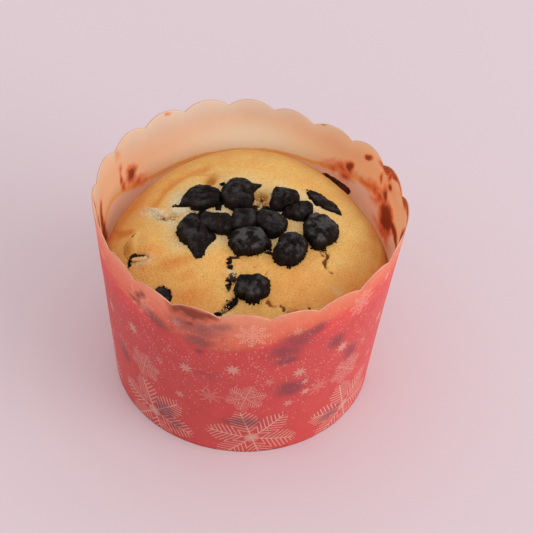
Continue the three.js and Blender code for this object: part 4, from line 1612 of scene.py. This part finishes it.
    def fields(self, points: Array, share: Array) -> dict[str, Array]:
        """The values that the crust reads.

        Args:
            points: of the whole cake.
            share: 0 in the dome's middle, and 1 at its edge and below it.

        Returns:
            How far it is baked, with painted light and shade in that, hollow, with painted shade there,
            cracked, stained with chocolate, and dusty and pale, by name.
        """
        x, y = points[:, 0], points[:, 1]
        angle = np.degrees(np.arctan2(y, x))
        bake = self.plain_bake - self.cream_bake * self.near_chips(x, y) * ease(share, 0.95, 0.6)
        # Painted light on the right slope, shaded by the paper wall.
        bake = bake - ease(share, 0.45, 0.8) * lobes_at(self.painted_light_right, angle)
        bake = bake + ease(share, 0.7, 1.0) * lobes_at(self.brown_front, angle)
        bake = bake + ease(share, 0.95, 1.0) * (self.edge_bake + lobes_at(self.edge_lobes, angle))
        # Painted shade along the first creases.
        shaded_strokes = self.creases[: self.shaded_creases]
        bake = bake + 0.5 * np.max([bell(stroke.distance(x, y), 1.2) for stroke in shaded_strokes], axis=0)
        dark = self.pits[: self.dark_pits]
        torn = ease(-self.crumbled(x, y), 0.12, 0.5)
        depths = [1.4 * self.broken(x, y), 0.8 * soft(dark, dome_offsets(dark, x, y)), 0.5 * torn]
        return {
            "bake": bake + soft(self.brown_spots, dome_offsets(self.brown_spots, x, y)),
            "crack": np.max(depths, axis=0),
            "hollow": soft(self.hollows, dome_offsets(self.hollows, x, y)),
            "stain": crisp(self.stains, dome_offsets(self.stains, x, y)),
            "dusty": soft(self.dusty_spots, dome_offsets(self.dusty_spots, x, y)),
        }

    def dress(self, cake: Thing, crust: Material) -> None:
        """Gives the cake its crust."""
        finish_piece(cake, Slot.CAKE, [crust], ["cake"])


# ---------------------------------------------------------------- crumbs


@dataclass
class Crumbs:
    """Many small lumps joined into one mesh."""

    name: str
    columns: int = 8
    rings: int = 4

    def build(self, middles: Array, sizes: Array, seed: int, fields: Mapping[str, float]) -> Thing:
        """Sets a lump at each middle: a small sphere with every point pushed in or out, stretched and turned.

        Args:
            middles: where the lumps lie, three to a row.
            sizes: their radii.
            seed: of their shapes.
            fields: one value for all points, by name.

        Returns:
            The joined mesh object.
        """
        rng = np.random.default_rng(seed)
        polar = np.linspace(np.pi, 0, self.rings + 2)[1:-1, None]
        turn = np.linspace(0, 2 * np.pi, self.columns, endpoint=False)[None, :]
        wide, high = np.sin(polar), np.cos(polar)
        ball = np.stack([wide * np.cos(turn), wide * np.sin(turn), high + 0 * turn], axis=-1)
        ball = np.vstack([[0, 0, -1], ball.reshape(-1, 3), [0, 0, 1]])
        count = len(middles)
        pushed = ball[None] * rng.uniform(0.7, 1.25, (count, len(ball), 1))
        stretched = pushed * rng.uniform(0.65, 1.3, (count, 1, 3))
        spin = rng.uniform(0, 2 * np.pi, count)
        c, s = np.cos(spin), np.sin(spin)
        zero, one = np.zeros(count), np.ones(count)
        turns = np.stack([c, -s, zero, s, c, zero, zero, zero, one], -1).reshape(count, 3, 3)
        lumps = np.einsum("nij,nkj->nki", turns, stretched) * sizes[:, None, None] + middles[:, None]
        points = lumps.reshape(-1, 3)
        faces, starts = ring_faces(self.rings, self.columns), range(0, len(points), len(ball))
        joined = [tuple(k + start for k in face) for start in starts for face in faces]
        return make_object(self.name, points, joined, {k: np.full(len(points), v) for k, v in fields.items()})


@dataclass
class Scatter:
    """Chocolate bits round the chips and in the crevices, and pale crumbs on and beside them.

    A row of spilled bits has their place in plan, their spread to the side and ahead, their number and size.
    """

    cake: CakeForm
    rim_bits: int = 30
    seed: int = 7
    dark: tuple[tuple[float, ...], ...] = (
        (-16.0, 2.1, 1.1, 0.3, 14, 0.24), (-3.3, -15.0, 0.3, 0.6, 16, 0.3), (-3.2, -16.6, 0.4, 0.3, 10, 0.3),
        (-2.4, -25.1, 0.7, 0.6, 22, 0.3), (-5.0, -27.2, 0.4, 0.25, 10, 0.3), (3.4, 1.8, 0.7, 0.4, 14, 0.26),
        (0.9, 1.2, 1.2, 0.6, 26, 0.4), (4.7, 0.2, 0.9, 0.7, 26, 0.5), (-1.9, -0.1, 1.2, 0.5, 22, 0.5),
        (1.3, -0.9, 0.9, 0.5, 16, 0.45), (3.5, -7.4, 1.0, 0.6, 24, 0.5), (4.7, -9.8, 0.4, 1.3, 26, 0.5),
        (5.2, -12.5, 0.7, 0.25, 10, 0.26), (-6.7, 2.4, 0.4, 1.4, 26, 0.55), (-10.2, -1.2, 0.8, 0.6, 18, 0.45),
        (-9.9, -3.4, 0.5, 1.0, 18, 0.5), (-3.5, -7.6, 0.5, 0.8, 18, 0.5), (13.6, -0.4, 0.8, 0.6, 20, 0.5),
        (10.4, 1.6, 0.5, 0.9, 14, 0.45), (12.9, -8.5, 0.3, 0.5, 8, 0.26), (-3.0, -19.4, 0.5, 0.8, 26, 0.26),
        (-3.2, -21.6, 0.5, 0.8, 16, 0.3), (-6.2, 8.6, 0.4, 0.4, 10, 0.25), (16.2, -9.4, 0.5, 0.25, 8, 0.22),
        (-8.6, -9.2, 1.2, 0.5, 18, 0.35), (-25.2, -12.2, 0.2, 0.7, 10, 0.22), (9.6, -0.9, 1.2, 0.4, 24, 0.45),
    )
    pale: tuple[tuple[float, ...], ...] = (
        (-8.9, -8.3, 0.9, 0.3, 22, 0.22), (-7.6, -7.3, 0.5, 0.3, 12, 0.24), (-10.1, 1.9, 0.2, 0.5, 6, 0.25),
        (-12.5, 0.1, 0.6, 0.4, 10, 0.3), (-18.5, -1.2, 2.0, 0.8, 50, 0.2), (1.8, 3.4, 1.2, 0.9, 40, 0.24),
        (2.4, 0.7, 0.5, 0.3, 10, 0.3), (-2.6, -18.6, 0.7, 0.6, 16, 0.2), (3.2, -25.8, 1.6, 0.5, 24, 0.16),
        (-2.4, -26.6, 1.6, 0.6, 24, 0.18), (-23.4, -12.4, 1.6, 0.3, 22, 0.2), (0.4, -24.8, 1.0, 0.4, 12, 0.2),
    )

    def spilled(self, rows: Sequence[tuple[float, ...]], rng: np.random.Generator) -> tuple[Array, Array]:
        """Places and sizes of spilled bits, half sunk in the dome.

        Args:
            rows: the spills.
            rng: the random draws.

        Returns:
            Middles, three to a row, and radii.
        """
        columns = np.array(rows).T
        x, y, wide, deep, _, size = np.repeat(columns, columns[4].astype(int), axis=1)
        x = x + wide * rng.normal(0, 0.8, x.size)
        y = y + deep * rng.normal(0, 0.8, y.size)
        sizes = size * rng.uniform(0.5, 1.2, size.size)
        return np.stack([x, y, self.cake.height(x, y) + 0.1 * sizes], axis=-1), sizes

    def round_chips(self, rng: np.random.Generator) -> tuple[Array, Array]:
        """Places and sizes of the bits along the chips' outlines.

        Args:
            rng: the random draws.

        Returns:
            Middles, three to a row, and radii.
        """
        middles, sizes = [], []
        for chip in (chip for chip in CHIPS if not chip.bare):
            angle = rng.uniform(0, 2 * np.pi, self.rim_bits)
            out = chip.reach(angle) * rng.uniform(0.93, 1.05, angle.size)
            turned = angle + math.radians(chip.turn)
            x, y = chip.x + out * np.cos(turned), chip.y + out * np.sin(turned)
            sizes.append(rng.uniform(0.12, 0.34, angle.size))
            middles.append(np.stack([x, y, self.cake.height(x, y) + 0.02], axis=-1))
        return np.concatenate(middles), np.concatenate(sizes)

    def build(self, chocolate: Material, crust: Material) -> None:
        """Makes both kinds of bits."""
        rng = np.random.default_rng(self.seed)
        places = self.spilled(self.dark, rng), self.round_chips(rng)
        middles, sizes = (np.concatenate(kind) for kind in zip(*places))
        dark = {"crown": 0.1, "brown": 0.0, "veil": 0.0}
        bits = Crumbs("chocolate_bits").build(middles, sizes, self.seed + 1, dark)
        finish_piece(bits, Slot.CHOCOLATE, [chocolate])
        pale = {"bake": 0.2, "hollow": 0.0, "crack": 0.0, "stain": -1.0, "dusty": 0.2}
        crumbs = Crumbs("cake_crumbs").build(*self.spilled(self.pale, rng), self.seed + 2, pale)
        finish_piece(crumbs, Slot.CAKE, [crust])


# ---------------------------------------------------------------- studio


@dataclass(frozen=True)
class Softbox:
    """A round soft light that looks at the muffin."""

    name: str
    place: tuple[float, float, float]
    size: float
    power: float


@dataclass
class Studio:
    """Floor, soft light from the right and the camera."""

    floor_size: float = 4000.0
    floor_colour: Colour = srgb(228, 211, 216)
    sky: Colour = (1.0, 0.985, 1.0, 1.0)
    sky_strength: float = 0.82
    lights: tuple[Softbox, ...] = (Softbox("key", (1350, -600, 450), 1400, 13.5),)
    camera_place: tuple[float, float, float] = (4.6208, -284.8531, 324.3482)
    camera_right: tuple[float, float, float] = (0.99824, 0.04258, 0.04123)
    camera_up: tuple[float, float, float] = (-0.05927, 0.71714, 0.69440)
    lens: float = 121.58
    sensor: float = 36.0
    far: float = 20.0

    def floor(self) -> None:
        """A plain pale floor."""
        corners = np.array([[-1, -1, 0], [1, -1, 0], [1, 1, 0], [-1, 1, 0]]) * self.floor_size / 2
        floor = make_object("floor", corners, [(0, 1, 2, 3)])
        paint = {"Base Color": self.floor_colour, "Roughness": 0.9, "Specular IOR Level": 0.1}
        floor.data.materials.append(MaterialGraph("floor_paint").surface(paint))

    def light(self) -> None:
        """The soft lights, and an even pale sky."""
        for light in self.lights:
            lamp = bpy.data.lights.new(light.name, "AREA")
            lamp.shape = "DISK"
            lamp.size = light.size * MM
            lamp.energy = light.power
            place = np.array(light.place)
            out = place / np.linalg.norm(place)
            side = np.cross([0, 0, 1], out)
            side /= np.linalg.norm(side)
            self.stand(light.name, lamp, place, side, np.cross(out, side))
        world = bpy.data.worlds.new("sky")
        world.use_nodes = True
        background = world.node_tree.nodes["Background"]
        background.inputs["Color"].default_value = self.sky
        background.inputs["Strength"].default_value = self.sky_strength
        bpy.context.scene.world = world

    def camera(self) -> None:
        """The camera, looking down at the front."""
        lens = bpy.data.cameras.new("camera")
        lens.lens = self.lens
        lens.sensor_width = self.sensor
        lens.clip_end = self.far
        place, right, up = map(np.array, (self.camera_place, self.camera_right, self.camera_up))
        bpy.context.scene.camera = self.stand("camera", lens, place, right, up)

    @staticmethod
    def stand(name: str, thing: bpy.types.ID, place: Array, right: Array, up: Array) -> Thing:
        """Stands a camera or lamp at a place in millimetres, with its own right and up."""
        stand = bpy.data.objects.new(name, thing)
        bpy.context.scene.collection.objects.link(stand)
        turn = Matrix(np.stack([right, up, np.cross(right, up)], axis=1).tolist()).to_4x4()
        turn.translation = (place * MM).tolist()
        stand.matrix_world = turn
        return stand

    def build(self) -> None:
        """Sets everything up."""
        self.floor()
        self.light()
        self.camera()
        bpy.context.scene.view_settings.view_transform = "Standard"


def main() -> None:
    """Builds the cup, the cake, its chips and the crumbs, then the studio."""
    logging.basicConfig(level=logging.INFO, format="%(name)s: %(message)s")
    cup_form = CupForm()
    cake_form = CakeForm(cup_form)
    grain = grain_group()
    cup = PaperCup(cup_form)
    cup.dress(cup.build(), grain)
    crust, chocolate = Crust().material(grain), Chocolate().material(grain)
    cake = Cake(cake_form)
    cake.dress(cake.build(), crust)
    ChipMaker(cake_form).build(chocolate)
    Scatter(cake_form).build(chocolate, crust)
    Studio().build()


if __name__ == "__main__":
    main()
